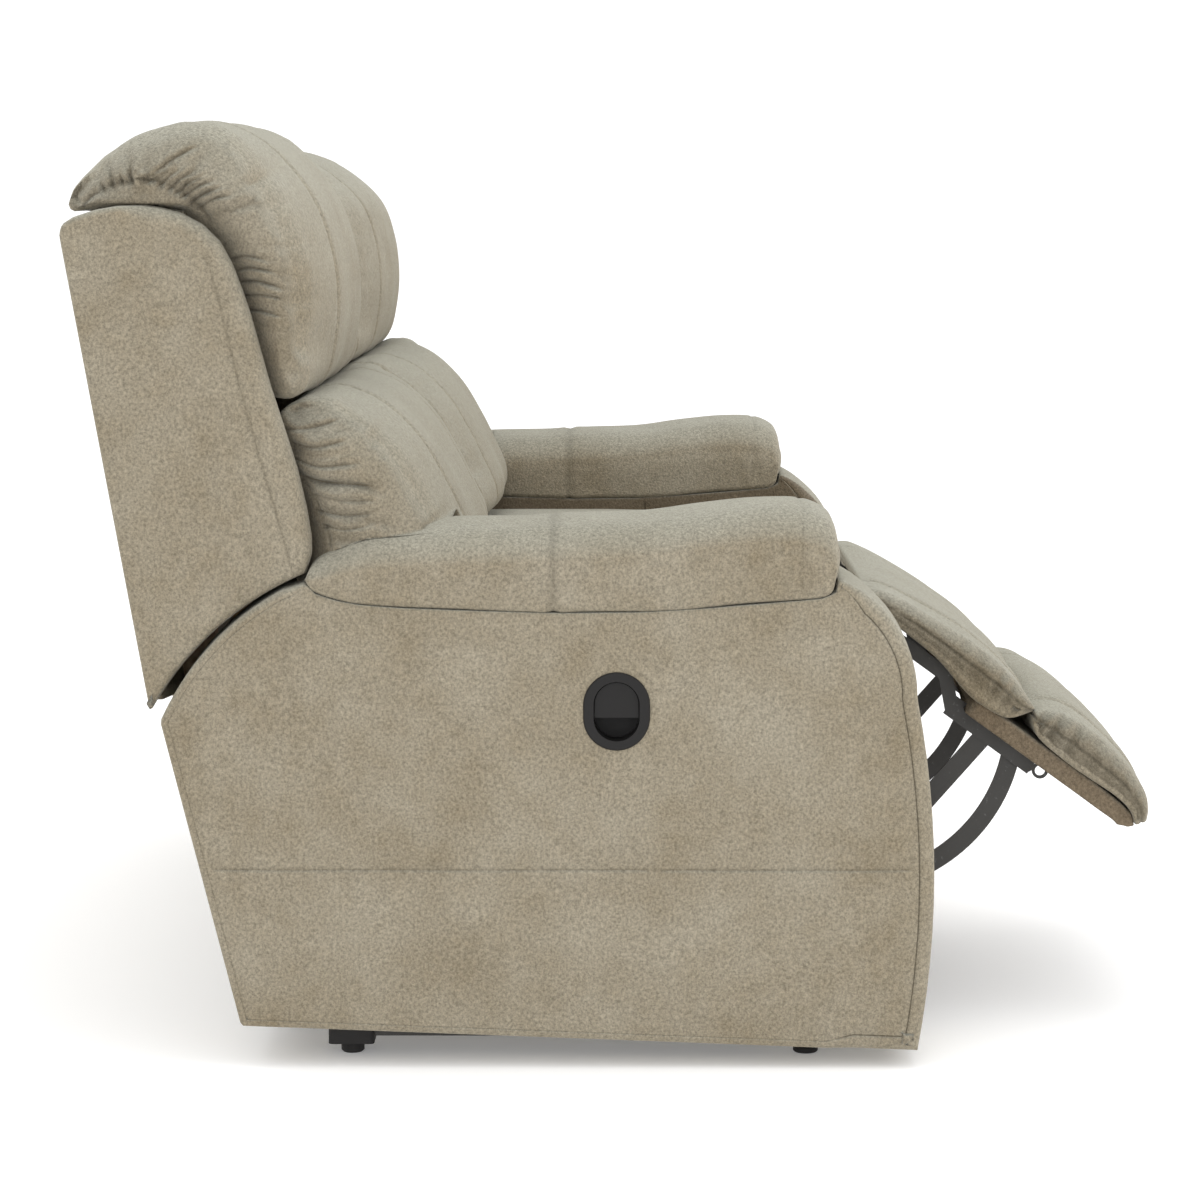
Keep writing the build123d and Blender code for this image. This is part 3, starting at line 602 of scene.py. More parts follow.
# A darker copy of the suede: painted shade for the arms' inner faces.
SUEDE_PAINTED_DARKER = suede("suede_painted_darker", (0.108, 0.084, 0.055), (0.146, 0.117, 0.080),
        (0.22, 0.20, 0.165), 0.15)
SUEDE_DARK = suede("suede_shaded", (0.150, 0.115, 0.076), (0.180, 0.142, 0.098), (0.26, 0.24, 0.19), 0.15)
MATERIALS = {
    "suede_cover": SUEDE,
    "timber": wood("timber", (0.62, 0.47, 0.30), (0.40, 0.27, 0.15)),
    "dark_steel": metal("dark_steel", (0.055, 0.053, 0.05), 0.5, 0.55),
    "rivet_steel": metal("rivet_steel", (0.33, 0.33, 0.34), 0.35, 1.0),
    "spring_wire": metal("spring_wire", (0.28, 0.28, 0.29), 0.35, 1.0),
    "handle_plastic": plastic("handle_plastic", (0.0085, 0.0078, 0.0075), 0.45),
    "foot_plastic": plastic("foot_plastic", (0.018, 0.017, 0.017), 0.6),
}
for part in frame["record"]["subparts"]:
    node = frame["nodes"][part["node"]]
    node.data.materials.clear()
    node.data.materials.append(MATERIALS[part["material_slot"]])

# ---------------------------------------------------------------- side outlines
def on_pivot_arc(radius, degrees):
    """Point behind the recline pivot, on an arc about it."""
    a = math.radians(degrees)
    return (PIVOT[0] - radius * math.cos(a), PIVOT[1] + radius * math.sin(a))


ARM_OUTLINE = [(-395, 46), *arc(on_pivot_arc(307.6, 24.4), on_pivot_arc(307.6, 45),
        on_pivot_arc(307.6, 64.9)),
               (-319, 536), (-309, 525), (-288, 518), (-262, 513), (-217, 509.5), (-152, 507), (-44, 504),
               (44, 505),
               (111, 509), (174, 514), (214, 517.5), (240, 520), (256, 526),
               *arc((259, 541), (314, 501), (346, 409)),
               *arc((346, 409), (366, 170), (350, 18)), (350, 18)]
PAD_TOP = [(-321, 540), (-312, 559), (-288, 578), (-256, 590), (-217, 594), (-152, 598), (-44, 602),
           (44, 605),
           (111, 614), (173, 620), (220, 620), (247, 610), (258, 595), (261, 574)]
PAD_LOW = [(-319, 536), (-309, 526), (-288, 519), (-262, 514), (-217, 510.5), (-152, 508), (-44, 505),
           (44, 506),
           (111, 510), (174, 515), (214, 518.5), (238, 521), (250, 526), (256, 540)]
WING_OUTLINE = [on_pivot_arc(313, 67), (-315, 566), (-315, 583), (-320, 615), (-330, 659), (-340, 691),
                (-359, 751), (-369, 788), (-379, 826), (-388, 853), (-398, 880), (-411, 904), (-429, 922),
                (-451, 934), (-472, 940), (-493, 943), (-520, 942), (-543, 938), (-568, 930), (-579, 923),
                (-582, 913), (-581, 905), *arc((-492, 395), on_pivot_arc(317, 42), on_pivot_arc(313, 67), 16)]
WING_STITCH = [(-486, 930), (-456, 922), (-435, 906), (-422, 880), (-414, 853), (-401, 799), (-388, 745),
               (-375, 697), (-362, 648), (-349, 604), (-337, 556)]
HEAD_OUTLINE = smooth([(-581, 943), (-575, 961), (-562, 979), (-539, 1001), (-500, 1024), (-447, 1037),
        (-400, 1026),
                       (-354, 996), (-318, 948), (-299, 892), (-293, 845), (-295, 802), (-305, 762),
                       (-322, 738), (-342, 730), (-366, 733), (-395, 742), (-416, 782), (-431, 826),
                       (-440, 880),
                       (-449, 920), (-464, 936.5), (-500, 937), (-555, 936.5), (-575, 935), (-581, 943)],
                       220)[:-1]
HEAD_SPINE = [(-535, 975), (-450, 985), (-395, 955), (-372, 890), (-366, 820), (-362, 785)]
LUMBAR_OUTLINE = smooth([(-356, 713), (-336, 729), (-314, 737), (-289, 739), (-245, 722), (-205, 684),
        (-175, 635),
                         (-152, 588), (-140, 555), (-143, 530), (-168, 514), (-240, 511), (-305, 515),
                         (-345, 545), (-362, 620),
                         (-372, 684), (-356, 713)], 170)[:-1]
LUMBAR_SPINE = [(-320, 680), (-280, 655), (-240, 620), (-200, 585)]


# ---------------------------------------------------------------- shared wrinkle shapes
def crease(points, path, width, depth=1.0):
    """Groove of one depth along a (forward, up) path: its share at each point, from 0 to 1."""
    line = smooth(path, 24)
    q, d = nearest_on(line, points)
    first, last = (np.linalg.norm(points - end, axis=1) for end in (line[0], line[-1]))
    ends = ramp(first, 0, 14) * ramp(last, 0, 14)
    return depth * np.exp(-(d / width) ** 2) * np.clip(ends + (d < width) * 0.35, 0, 1)


def soft_noise(points, pitch, seed):
    """Smooth two-dimensional unevenness from about -1 to 1."""
    random = np.random.default_rng(seed)
    total = np.zeros(len(points))
    for k in range(7):
        angle = random.uniform(0, math.pi)
        wave = 2 * math.pi / (pitch * random.uniform(0.75, 1.5))
        total += np.sin((points[:, 0] * math.cos(angle) + points[:, 1] * math.sin(angle)) * wave
                        + random.uniform(0, 6.28))
    return total / 3.2


# ---------------------------------------------------------------- arms
def arm_face(points, gap, seed, seam_up=222.0, upright=None):
    """Outer or inner arm panel: slack padding, a sewn line across and pull marks beside the seams."""
    z = points[:, 1]
    amount = 1.6 * soft_noise(points, 210, seed) + 0.5 * soft_noise(points, 60, seed + 5) + 3.0 * ramp(gap,
            0, 90)
    dark = np.zeros(len(points))
    if seam_up is not None:
        line = z - seam_up
        amount -= 1.5 * bump(line, 0, 1.6) - 0.6 * bump(line, 8, 6) - 0.4 * bump(line, -8, 6)
        # Painted shade along the sewn line's groove.
        dark += 0.4 * bump(line, 0, 1.2)
    if upright is not None:
        line = points[:, 0] - upright
        amount -= 2.0 * bump(line, 0, 1.8)
        # Painted shade along the upright seam's groove.
        dark += 0.5 * bump(line, 0, 1.2)
    return amount, dark


def stadium(centre, width, height, count=28):
    """Upright oval with straight sides."""
    r = width / 2
    rise = (height - width) / 2
    points = []
    for k in range(count):
        a = 2 * math.pi * k / count
        points.append((centre[0] + r * math.cos(a), centre[1] + r * math.sin(a) + math.copysign(rise,
                math.sin(a))))
    return np.array(points)


for side, sign in SIDES.items():
    front = lambda p: 1.0 if p[0] > 262 and p[1] < 525 else 0.12 if p[1] > 500 and -325 < p[0] < 262 else 0.5
    cup = stadium((18.0, 397.0), 65.0, 78.0)
    arm = stuffed(
        side + "_arm_body", ARM_OUTLINE, sign * HALF_WIDTH, sign * (HALF_WIDTH - ARM_WIDTH),
        rim(13.0), rim(13.0), ((0.3, -1.5, 0), (0.5, -2.5, 0), (0.7, -1.5, 0)), scale=front,
        faces=(lambda p, g: arm_face(p, g, 3), lambda p, g: arm_face(p, g, 11, 222.0, 60.0)),
        hole=cup, sewn=([(-420, 222), (-100, 222), (150, 222), (345, 222)], [(60, 60), (60, 250), (60, 500)]),
        spacing=6.0, step=9.0, material=SUEDE)
    # The arms' inner faces take the darker copy: painted shade.
    arm.data.materials.append(SUEDE_PAINTED_DARKER)
    inner_x = (HALF_WIDTH - ARM_WIDTH + 25) * MM
    for face in arm.data.polygons:
        if abs(face.center.x) < inner_x and abs(face.normal.x) > 0.6:
            face.material_index = 1
    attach(arm, "base")
    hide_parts(side + "_arm_cover")

    def arm_pad_detail(s, x, h, part, length=600.0):
        """Crosswise seam half way along, a faint crease and slack ripples near the front corner."""
        seam = s - 292.0
        side_face = ramp(part, 0.5, 1.0)
        amount = -1.8 * bump(seam, 0, 2.4) + 0.8 * bump(seam, 11, 8) + 0.8 * bump(seam, -11, 8)
        ripple = 0.5 * np.sin(h * 34 + 0.02 * s) * bump(seam, 0, 26) * side_face
        crease_line = -1.4 * bump(h * 95, 52 + 4 * np.sin(s / 60), 5) * side_face * ramp(s, 330, 400)
        front_end = -1.6 * bump(s, length - 34, 2.6) * side_face
        corner = 1.2 * np.sin(s / 5.5 + h * 5) * bump(s, length - 30, 26) * bump(h, 0.25, 0.3) * side_face
        swell = 1.2 * wavy(s + 90 * h, 85, 4) + 0.7 * wavy(x + s * 0.6, 40, 9)
        # Painted shade in the crosswise seam and in the front end's seam.
        dark = 0.36 * bump(seam, 0, 1.5) + 0.22 * bump(s, length - 34, 1.5) * side_face
        return amount + ripple + crease_line + front_end + corner + swell, dark

    low, high = sorted((sign * (HALF_WIDTH + 1), sign * (HALF_WIDTH - ARM_WIDTH - 2)))
    top = pad(side + "_arm_top_pad", PAD_TOP, PAD_LOW, low, high, top_r=40, bottom_r=7, crown=14, puff=4,
              seams=None, side_seam=None, rings=150, end_round=14, cap=(6.0, 7.0), extra=arm_pad_detail,
              material=SUEDE)
    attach(top, "base")
    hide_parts(side + "_arm_pad")

# ---------------------------------------------------------------- backs
HEAD_SEAM = [(-565, 937), (-549, 954), (-524, 965), (-497, 969), (-470, 968), (-448, 957), (-432, 943),
             (-422, 928)]
HEAD_FOLD = [(-420, 934), (-389, 941), (-351, 954)]
GUSSET_SEAM = [(-489, 966), (-494, 955), (-500, 944)]
HEAD_PLEATS = [
    [(-493, 971), (-498, 977), (-496, 984)], [(-492, 972), (-480, 977), (-458, 994), (-434, 1007)],
    [(-485, 970), (-472, 975), (-457, 985)], [(-472, 966), (-463, 975), (-451, 981)],
    [(-462, 962), (-450, 973), (-437, 979)],
    [(-455, 958), (-441, 968), (-425, 975)], [(-447, 954), (-433, 964), (-416, 969)],
    [(-438, 949), (-424, 957), (-407, 962)],
    [(-431, 942), (-415, 951), (-395, 954)], [(-504, 970), (-508, 977), (-505, 986)],
    [(-515, 969), (-518, 976), (-516, 983)],
    [(-526, 966), (-529, 973), (-528, 979)], [(-537, 962), (-541, 968), (-541, 974)],
    [(-396, 887), (-381, 889), (-358, 885)], [(-391, 874), (-375, 876), (-346, 871)],
    [(-388, 861), (-369, 862), (-340, 853)],
    [(-385, 846), (-363, 847), (-337, 841)], [(-380, 830), (-363, 829), (-342, 823)]]
LUMBAR_PLEATS = [
    [(-331, 667), (-303, 661), (-262, 665)], [(-323, 649), (-290, 643), (-242, 640)],
            [(-309, 630), (-284, 625), (-243, 624)],
    [(-304, 612), (-278, 608), (-243, 611)], [(-334, 685), (-310, 682), (-275, 689)],
    [(-297, 596), (-278, 593), (-249, 597)],
    [(-341, 700), (-316, 702), (-281, 712)]]
LUMBAR_SEAM = [(-341, 668), (-335, 657), (-316, 635), (-303, 608), (-295, 586), (-293, 570)]
DEEP_PULLS = [(-305, 643), (-272, 645), (-240, 632)], [(-296, 598), (-262, 603), (-226, 597)]
# (depth, width, path) of single creases; a negative depth stands proud
HEAD_CREASES = (
    (6.0, 3.0, HEAD_SEAM), (3.0, 2.6, GUSSET_SEAM), (4.6, 4.2, HEAD_FOLD),
    (-2.2, 6.0, [(-418, 946), (-389, 953), (-355, 966)]), (2.6, 4.0, [(-388, 872), (-360, 866), (-335, 870)]),
    (2.2, 4.0, [(-378, 845), (-345, 838), (-325, 842)]), (2.4, 3.4, [(-352, 752), (-340, 745), (-330, 734)]))
LUMBAR_CREASES = (
    (5.5, 3.0, LUMBAR_SEAM), (4.0, 5.0, DEEP_PULLS[0]), (3.6, 5.0, DEEP_PULLS[1]),
    (2.4, 4.0, [(-300, 620), (-270, 622), (-248, 616)]), (2.4, 4.0, [(-330, 690), (-300, 703), (-268, 700)]),
    (2.0, 3.4, [(-322, 712), (-295, 718), (-265, 712)]))


def outside_wing(points):
    """Distance from the wing's outline, zero behind it."""
    loop = np.array(WING_OUTLINE, float)
    gap = nearest_on(np.vstack([loop, loop[:1]]), points)[1]
    return np.where(inside(points, loop), 0.0, gap)


def open_gap(points, outline, held):
    """Distance to the part of an outline that isn't held against the wing."""
    line = np.array([p for p in resampled(outline, 5.0) if held(p) > 0.3])
    return np.min(np.hypot(points[:, None, 0] - line[None, :, 0], points[:, None, 1] - line[None, :, 1]),
                  axis=1)


def head_edge(p):
    """How round the head pillow's rim is at an outline point: tight on the wing, full in front."""
    if p[1] < 955 and p[0] < -366:
        return 0.05
    if p[0] < -440:
        return 0.4 + 0.6 * float(ramp(p[0], -575, -480))
    return 0.12 + 0.88 * float(ramp(p[1], 735, 850))


def lumbar_edge(p):
    """The same for the lumbar pillow, which is held by the wing and by the arm pad under it."""
    if p[0] < -335 or p[1] < 590:
        return 0.12
    return 1.0 - 0.5 * float(ramp(p[1], 690, 725))


def pleats(points, paths, depth, dark):
    """Narrow folds with a raised lip beside each: (bulge, painted shade in the folds)."""
    amount, shade = np.zeros(len(points)), np.zeros(len(points))
    for path in paths:
        line = smooth(path, 24)
        q, d = nearest_on(line, points)
        from_end = np.linalg.norm(points - line[-1], axis=1)
        fade = ramp(from_end, 0, 14)
        amount += fade * depth * (0.55 * np.exp(-((d - 5.0) / 2.8) ** 2) - np.exp(-(d / 2.0) ** 2))
        shade = np.maximum(shade, fade * dark * np.exp(-(d / 1.7) ** 2))
    return amount, shade


def inner_face(points, gap):
    """Side next to the other seat: swells in front of the thin inner wing."""
    return 15.0 * ramp(outside_wing(points), -2, 30) * ramp(gap, 0, 24), np.zeros(len(points))


def head_face(points, gap, seed):
    """Side of the head pillow: arc seam with fanned gathers, then pulls down the wing's front edge."""
    clear = outside_wing(points)
    u, z = points[:, 0], points[:, 1]
    amount = np.zeros(len(points))
    line = smooth(HEAD_SEAM, 60)
    q, far = nearest_on(line, points)
    above = ramp(np.linalg.norm(points - [-492, 905], axis=1) - 62, -2, 3)
    angle = np.arctan2(z - 900, u + 488)
    strength = 0.55 + 0.45 * wavy(angle * 9 + 60, 1.0, seed + 1)
    fan = np.sin(angle * 30 + 2.2 * wavy(angle * 7 + 30, 1.0, seed)) * strength
    spread = np.exp(-(far / 36) ** 1.7) * ramp(far, 1, 8) * above * ramp(z, 935, 950)
    amount += 5.5 * fan * spread
    amount += 1.5 * soft_noise(points, 120, seed) * ramp(clear, 5, 40)
    for depth, width, path in HEAD_CREASES:
        amount -= crease(points, path, width, depth)
    beside = np.exp(-(clear / 30) ** 2) * ramp(clear, 1, 8)
    pulls = np.sin(z / 3.6 + 1.6 * wavy(z, 26, seed) + 0.02 * u) * beside
    amount += 2.6 * pulls * bump(z, 855, 75)
    # Painted shade: in the hollows of the gathers and pulls, over the whole side and more near the wing, in the
    # fold, the pleats and the seams.
    dark = 0.5 * np.clip(-fan, 0, 1) ** 1.5 * spread + 0.22 * np.clip(-pulls, 0, 1) ** 2 * bump(z, 855, 75)
    dark += 0.10 + 0.22 * np.exp(-(clear / 40) ** 2) + 0.35 * crease(points, HEAD_FOLD, 2.4)
    folds, fold_dark = pleats(points, HEAD_PLEATS, 3.8, 0.5)
    dark += 0.7 * crease(points, HEAD_SEAM, 1.7) + 0.4 * crease(points, GUSSET_SEAM, 1.5)
    return amount + folds, dark + fold_dark


def lumbar_face(points, gap, seed):
    """Side of the lumbar pillow: curved seam, a gusset behind it and pleats in front of it."""
    clear = outside_wing(points)
    u, z = points[:, 0], points[:, 1]
    amount = np.zeros(len(points))
    q, far = nearest_on(smooth(LUMBAR_SEAM, 30), points)
    fold = np.sin(z / 4.8 + 1.8 * wavy(z, 30, seed) + 0.03 * u) * ramp(u - q[:, 0], -4, 6)
    spread = np.exp(-(far / 34) ** 1.8) * ramp(far, 1, 8) * ramp(z, 560, 590)
    amount += 4.6 * fold * spread
    for depth, width, path in LUMBAR_CREASES:
        amount -= crease(points, path, width, depth)
    amount += 1.4 * soft_noise(points, 100, seed) * ramp(clear, 5, 40)
    gusset = ramp(q[:, 0] - u, 0, 5) * ramp(-z, -672, -655)
    # Painted shade: over the whole side, in the folds' hollows, over the gusset behind the seam, near the wing, in
    # the deep pulls, the pleats and the seam.
    dark = 0.12 + 0.42 * np.clip(-fold, 0, 1) ** 1.5 * spread + 0.5 * gusset
    dark += 0.2 * np.exp(-(clear / 40) ** 2)
    for path in DEEP_PULLS:
        dark += 0.3 * crease(points, path, 3.0)
    folds, fold_dark = pleats(points, LUMBAR_PLEATS, 3.0, 0.36)
    return amount + folds, dark + fold_dark + 0.6 * crease(points, LUMBAR_SEAM, 1.7)


def wing_face(points, gap, seed):
    """Outer side of the back: even padding, a stitched line near its front border, light pulls."""
    q, far = nearest_on(smooth(WING_STITCH, 60), points)
    amount = 1.2 * soft_noise(points, 170, seed) + 0.5 * soft_noise(points, 55, seed + 3) + 2.5 * ramp(gap,
            0, 60)
    amount -= 1.9 * np.exp(-(far / 2.2) ** 2) - 1.1 * np.exp(-((far - 9) / 6) ** 2)
    amount += 0.45 * np.sin(points[:, 1] / 3.3) * np.exp(-(far / 9) ** 2) * ramp(points[:, 1], 560, 600)
    # Painted shade along the stitched line.
    return amount, 0.28 * np.exp(-(far / 1.3) ** 2)


def domed_side(rise, reach, to=60, steps=10):
    """Rim that swells as an ellipse, rise deep and reach wide, up to where the side face takes over."""
    top = rise * math.sin(math.radians(to))
    return [(reach * (1 - math.cos(a)), top - rise * math.sin(a), 0)
            for a in np.radians(np.linspace(to, 0, steps))]


def dome(rise, reach, outline, held):
    """The rest of that ellipse, from 30 degrees up, as the side face's own bulge."""
    def bulge(points):
        gap = np.clip(open_gap(points, outline, held) / reach, 0, 1)
        return rise * (np.sqrt(1 - (1 - gap) ** 2) - 0.5)
    return bulge


def held_by_wing(points):
    """Keeps a pillow's side behind the wing, and lets it swell in front of it and above it."""
    x = np.abs(points[:, 0]) / MM
    flat = np.stack([REF_Y - points[:, 1] / MM, points[:, 2] / MM], 1)
    gusset = 0.88 * ramp(-flat[:, 0], 415, 440) * ramp(flat[:, 1], 938, 946)
    limit = 744.0 + 38.0 * np.maximum(np.sqrt(ramp(outside_wing(flat), -1, 40)), gusset)
    over = x - limit
    x_new = np.where(over > -8, limit - 8 + 8 * np.tanh((over + 8) / 8), x)
    x_new = np.where(x > 600, np.minimum(x, x_new), x)
    return np.stack([np.sign(points[:, 0]) * x_new * MM, points[:, 1], points[:, 2]], 1)


def pillow_middle(half, depth=5.0):
    """Rings across a pillow's front, with two sewn lines down it."""
    rows = []
    shares = sorted(set(np.round(np.linspace(0.13, 0.87, 31), 4)) | set(np.round(
        [0.5 + c / (2 * half) + d / (2 * half) for c in SEAMS_AT for d in (-14, -7, -3, 0, 3, 7, 14)], 4)))
    for share in shares:
        x = (share - 0.5) * 2 * half
        groove = sum(depth * bump(x, c, 6.5) for c in SEAMS_AT)
        # Painted shade along the two sewn lines' grooves.
        dark = sum(0.5 * bump(x, c, 1.6) for c in SEAMS_AT)
        rows.append((share, groove - 1.0 * math.sin(x / 37.0), dark))
    return rows


for side, sign in SIDES.items():
    border = lambda p: 1.0 if p[0] > -500 and p[1] > 560 else 0.4
    wing = stuffed(side + "_wing_cover", WING_OUTLINE, sign * 789, sign * 747, rim(17.0, False),
                   rim(9.0, False),
                   ((0.5, -1.0, 0),), scale=border, faces=(lambda p, g: wing_face(p, g, 21), None),
                   sewn=(WING_STITCH,),
                   spacing=5.0, step=7.0, material=SUEDE)
    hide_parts(side + "_outer_wing")
    inner = stuffed(side + "_inner_wing_cover", WING_OUTLINE, sign * 17, sign * 3.5, rim(5.0, False),
                    rim(5.0, False),
                    ((0.5, 0.0, 0),), spacing=8.0, step=18.0, material=SUEDE)
    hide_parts(side + "_inner_wing")
    rear = [(-424, 175), (-444, 240), (-492, 395), (-522, 565), (-552, 735), (-580, 900), (-576, 922),
            (-557, 932),
            (-510, 937.5), (-450, 938)]
    front = [(-412, 175), (-432, 240), (-480, 395), (-510, 565), (-540, 735), (-567, 900), (-564, 911),
             (-551, 920),
             (-508, 925), (-450, 926)]
    share = np.linspace(0, 1, 120)
    height = smooth(rear, 120)[:, 1]
    outer_x = np.where(height < 400, 596.0, 748.0)
    low_x, high_x = (5.0 + 0 * share, outer_x) if sign > 0 else (-outer_x, -5.0 + 0 * share)

    def shell_detail(s, x, h, part):
        """Rear panel: slack cloth with a sewn line across at arm height and one near the top."""
        amount = 2.0 * wavy(s + 0.4 * x, 130, 31) + 1.2 * wavy(x, 170, 32)
        amount = amount - 3.0 * bump(s, 700, 3) - 2.5 * bump(s, 232, 3)
        # Painted shade along both sewn lines.
        return amount * ramp(part, 1.0, 1.6), 0.75 * (bump(s, 700, 1.8) + bump(s, 232, 1.8)) * ramp(part,
                1.0, 1.6)

    shell = pad(side + "_back_shell", rear, front, low_x, high_x, top_r=5, bottom_r=3, crown=0, puff=0.5,
                seams=None,
                rings=120, end_round=3, extra=shell_detail, material=SUEDE)
    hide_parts(side + "_back_panel")

    x_in = sign * 19
    front_weight = lambda p: float(ramp(p[0], -470, -330)) * float(ramp(-p[1], -1045, -985)) * float(
        ramp(p[1], 730, 800)) + 0.12

    def slump(points, sign=sign):
        """The far head pillow's fill has settled a little towards the front."""
        z = points[:, 2] / MM
        drop = 26.0 * ramp(z, 905, 1040) * ramp(REF_Y - points[:, 1] / MM, -520, -440) if sign > 0 else 0.0
        return held_by_wing(np.stack([points[:, 0], points[:, 1], (z - drop) * MM], 1))

    head = stuffed(side + "_head_cushion", HEAD_OUTLINE, sign * 738.5, x_in, domed_side(86.0, 92.0, 30, 6),
                   domed_side(26.0, 24.0),
                   pillow_middle(375.5), spine=HEAD_SPINE,
                   swell=dome(86.0, 92.0, HEAD_OUTLINE, head_edge), scale=head_edge,
                   crown=(27.0, front_weight),
                   spacing=5.5, step=4.6, faces=(lambda p, g: head_face(p, g, 41), inner_face),
                   sewn=(HEAD_SEAM, *HEAD_PLEATS), ruffle=(1.8, 13.0, 17), reshape=slump, material=SUEDE)
    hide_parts(side + "_head_pillow")

    def above_arm(points, sign=sign):
        """Keeps the pillow's outer part above the arm pad, and tucks the rest beside the arm."""
        x, z, u = np.abs(points[:, 0]) / MM, points[:, 2] / MM, REF_Y - points[:, 1] / MM
        crest = np.interp(u, [p[0] for p in PAD_TOP[:10]], [p[1] for p in PAD_TOP[:10]])
        crest = crest + 1.5 - 15 * np.clip((x - 700) / 100, 0, 1) ** 2
        over = ramp(x, 587, 593)
        lifted = z < crest + 4
        forward = np.where(lifted, np.minimum(u, -164.0), u)
        u = u + (forward - u) * over
        z = np.where(z < crest, z + (crest - z) * over, z)
        return held_by_wing(np.stack([points[:, 0], (REF_Y - u) * MM, z * MM], 1))

    lumbar = stuffed(side + "_lumbar_cushion", LUMBAR_OUTLINE, sign * 739.5, x_in,
            domed_side(78.0, 84.0, 30, 6),
                     domed_side(24.0, 22.0),
                     pillow_middle(374.5), spine=LUMBAR_SPINE,
                     swell=dome(78.0, 84.0, LUMBAR_OUTLINE, lumbar_edge), scale=lumbar_edge,
                     crown=(20.0, lambda p: float(ramp(p[0], -330, -230))), spacing=5.5, step=4.6,
                     faces=(lambda p, g: lumbar_face(p, g, 51), inner_face),
                     sewn=(LUMBAR_SEAM, *LUMBAR_PLEATS),
                     ruffle=(1.6, 12.0, 27), reshape=above_arm, material=SUEDE)
    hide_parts(side + "_lumbar_pillow")
    for piece, fill in ((wing, 0.85), (inner, 0.9), (shell, 0.9), (head, 0.8), (lumbar, 0.75)):
        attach(piece, side + "_back")

# ---------------------------------------------------------------- seats and footrests
# pitch, wander, wander's pitch, seed, gain, place, reach, painted shade on the sides and in the folds,
# height of that painted shade, fold depth, slack, slack's pitch, pitch across
CHAISE_RIPPLES = 4.4, 1.6, 30, 71, 0.8, 205, 55, 0.34, 0.3, 1.6, 2.0, 1.8, 70, 60
FOOT_RIPPLES = 3.9, 1.8, 26, 81, 0.9, 32, 40, 0.5, 0.4, 1.5, 2.6, 1.6, 60, 55


def ripples(shape):
    """Detail of a footrest cushion: ripples beside its side seam and slack cloth on top."""
    pitch, wander, span, seed, gain, at, reach, dark, fold, tall, depth, slack, slack_pitch, across = shape

    def detail(s, x, h, part):
        sides = ramp(part, 0.6, 1.0) * (1 - ramp(part, 1.3, 1.8))
        wave = np.sin(s / pitch + wander * wavy(s, span, seed) + 0.8 * h) * sides * (0.3 + gain * bump(s,
                at, reach))
        # Painted shade: the sides darker towards the bottom, and in the ripples' hollows.
        shade = dark * sides * (tall - h) + fold * np.clip(-wave, 0, 1)
        loose = slack * wavy(s + x * 0.3, slack_pitch, seed + 1) + 1.2 * wavy(x, across, seed + 2)
        return depth * wave + loose, shade
    return detail


for side, sign in SIDES.items():
    stored = STORED_SLOPE if side == "right" else STORED_SLOPE + CLOSE_TURN
    low, high = sorted((sign * (SEAT_MIDDLE - SEAT_HALF), sign * (SEAT_MIDDLE + SEAT_HALF)))

    def along(points, angle=stored):
        """(along, proud) points of the footrest in the side view."""
        return turned(np.array(points, float) + HINGE, HINGE, angle)

    def seat_detail(s, x, h, part):
        dips = -4.0 * np.exp(-((s - 300) / 150) ** 2 - (x / 190) ** 2) * ramp(part, 1.6, 1.9)
        return dips + 1.8 * wavy(s + x * 0.3, 90, 61) + 1.2 * wavy(x, 75, 62), 0 * s

    seat = pad(side + "_seat_pad", [(-296, 494), (-250, 500), (-150, 503), (0, 504), (140, 507), (215, 508),
            (262, 496)],
               [(-296, 412), (-250, 410), (-150, 410), (0, 410), (140, 410), (215, 410), (262, 414)],
               low + 4, high - 4,
               top_r=42, bottom_r=10, crown=16, puff=2, rings=110, end_round=20, cap=(6, 16),
               extra=seat_detail,
               material=SUEDE)
    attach(seat, side + "_seat")
    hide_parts(side + "_seat_cushion")

    run = np.linspace(0, 1, 120)
    lip = 12.0 * ramp(run, 0.40, 0.60) * ramp(-run, -1.0, -0.76)

    chaise = pad(side + "_chaise_cushion",
                 along([(4, 18), (22, 29), (60, 38), (120, 43), (175, 42), (215, 34), (238, 22), (244, 18)]),
                 along([(8, 6), (24, 2), (60, 1), (120, -1), (175, -2), (213, 0), (234, 9), (242, 14)]),
                 low, high,
                 top_r=22, bottom_r=8, crown=10, puff=5, side_seam=0.42, rings=120, end_round=16,
                 cap=(4, 3), lip=lip,
                 extra=ripples(CHAISE_RIPPLES), material=SUEDE)
    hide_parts(side + "_chaise_pad")

    foot = pad(side + "_footrest_cushion", along([(242, 16), (254, 31), (274, 41), (305, 44), (345, 41),
            (378, 33), (408, 17), (428, -10)]),
               along([(245, 8), (256, -3), (272, -8), (305, -9), (345, -9), (378, -9), (402, -12),
                      (418, -22)]), low + 1,
               high - 1, top_r=24, bottom_r=6, crown=12, puff=5, side_seam=0.4, rings=110, end_round=15,
               cap=(4, 5),
               extra=ripples(FOOT_RIPPLES), material=SUEDE)
    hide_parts(side + "_footrest_pad")

    board = pad(side + "_wrapped_board", along([(181, -11), (240, -10.5), (300, -10.5), (360, -10.5),
            (402, -14), (417, -24)]),
                along([(181, -24), (240, -24), (300, -24), (360, -24), (396, -25), (411, -30)]), low + 9,
                high - 9,
                top_r=4, bottom_r=4, crown=0, puff=1.0, seams=None, rings=60, end_round=5,
                lip=9.0 * ramp(np.linspace(1, 0, 60), 0.0, 0.12), material=SUEDE_DARK)
    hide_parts(side + "_footrest_board")
    for piece in (chaise, foot, board):
        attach(piece, side + "_footrest")

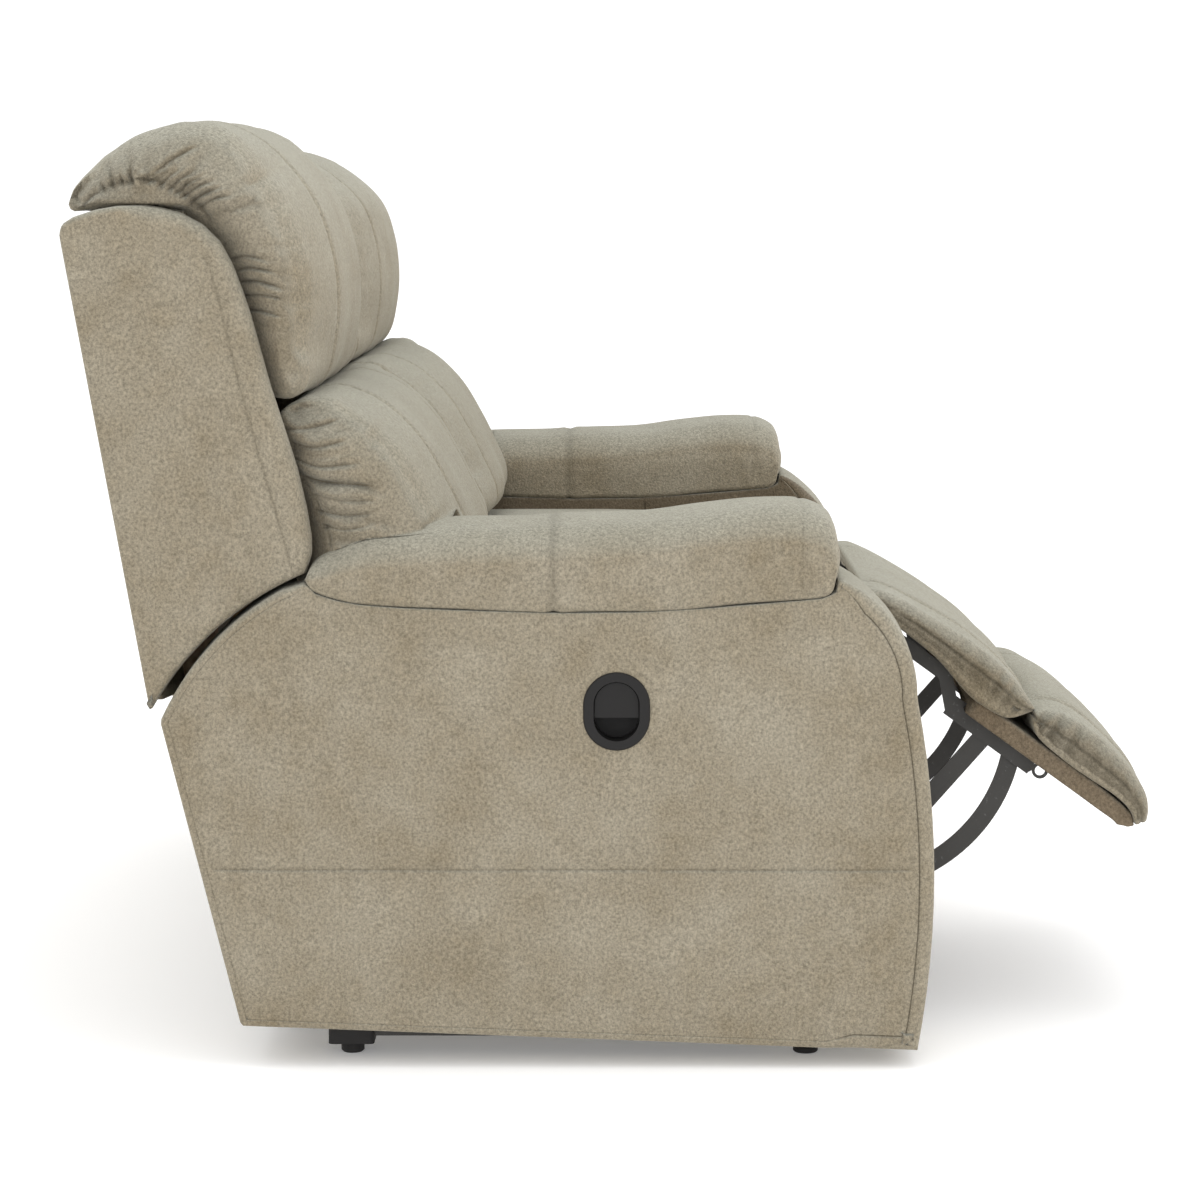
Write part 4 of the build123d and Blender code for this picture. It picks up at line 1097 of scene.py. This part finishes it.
for node, section, material in (
        ("front_rail", [(222, 16), (247, 16), (247, 58), (222, 58)], SUEDE_DARK),
        ("rear_rail", [(-395, 46), (-379, 46), (-392.5, 100), (-408.5, 100)], SUEDE)):
    piece = stuffed(node + "_cover", section, 599.5, -599.5, rim(3.0, False), None,
                    ((0.25, 0, 0), (0.5, 0, 0), (0.75, 0, 0)), spacing=5.0, step=9.0, material=material)
    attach(piece, "base")
    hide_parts(node)

# ---------------------------------------------------------------- floor, light and camera
FLOOR_GLOW = 0.17                             # lifts the floor to the white of the backdrop
STUDIO_LIGHT = 1.14
CAMERA_FORWARD = 16.1                         # the camera's place along the seat, from the reference line
VIEW_DIRECTION = (0.99317, 0.00416, -0.11658)
scene = bpy.context.scene
bpy.ops.mesh.primitive_plane_add(size=60, location=(0, 0, -0.0005))
floor = bpy.context.object
floor.name = "studio_floor"
material, tree, shader, coords = nodes_of("floor_paint")
tree.links.new(mixed(tree, noise(tree, coords, 1.5), (0.93, 0.93, 0.93), (0.95, 0.95, 0.95)),
               shader.inputs["Base Color"])
tune(shader, {"Roughness": 0.9, "Emission Color": (1.0, 1.0, 1.0, 1.0), "Emission Strength": FLOOR_GLOW})
floor.data.materials.append(material)

world = bpy.data.worlds.new("studio")
scene.world = world
world.use_nodes = True
background = world.node_tree.nodes["Background"]
tune(background, {"Color": (1.0, 1.0, 1.0, 1.0), "Strength": STUDIO_LIGHT})


def softbox(name, location, target, size, power):
    """Rectangular area light turned towards its target."""
    light = bpy.data.lights.new(name, "AREA")
    light.shape = "RECTANGLE"
    light.size, light.size_y = size
    light.energy = power
    obj = bpy.data.objects.new(name, light)
    obj.location = location
    obj.rotation_euler = (Vector(target) - Vector(location)).to_track_quat("-Z", "Y").to_euler()
    scene.collection.objects.link(obj)


softbox("key_overhead", (-0.5, -0.1, 3.6), (0, 0, 0.3), (2.4, 2.4), 30)
softbox("fill_front", (-2.0, -3.6, 2.4), (0, 0, 0.6), (2.0, 2.0), 24)
softbox("fill_camera", (-4.6, 0.6, 1.7), (0, 0, 0.6), (1.6, 1.6), 16)
scene.view_settings.view_transform = "Standard"
scene.view_settings.look = "None"

camera = bpy.data.cameras.new("photo_camera")
camera.sensor_width = 36.0
camera.lens = 107.35
view_object = bpy.data.objects.new("photo_camera", camera)
view_object.location = (-4.649, (REF_Y - CAMERA_FORWARD) * MM, 0.9704)
view_object.rotation_euler = Vector(VIEW_DIRECTION).to_track_quat("-Z", "Y").to_euler()
scene.collection.objects.link(view_object)
scene.camera = view_object
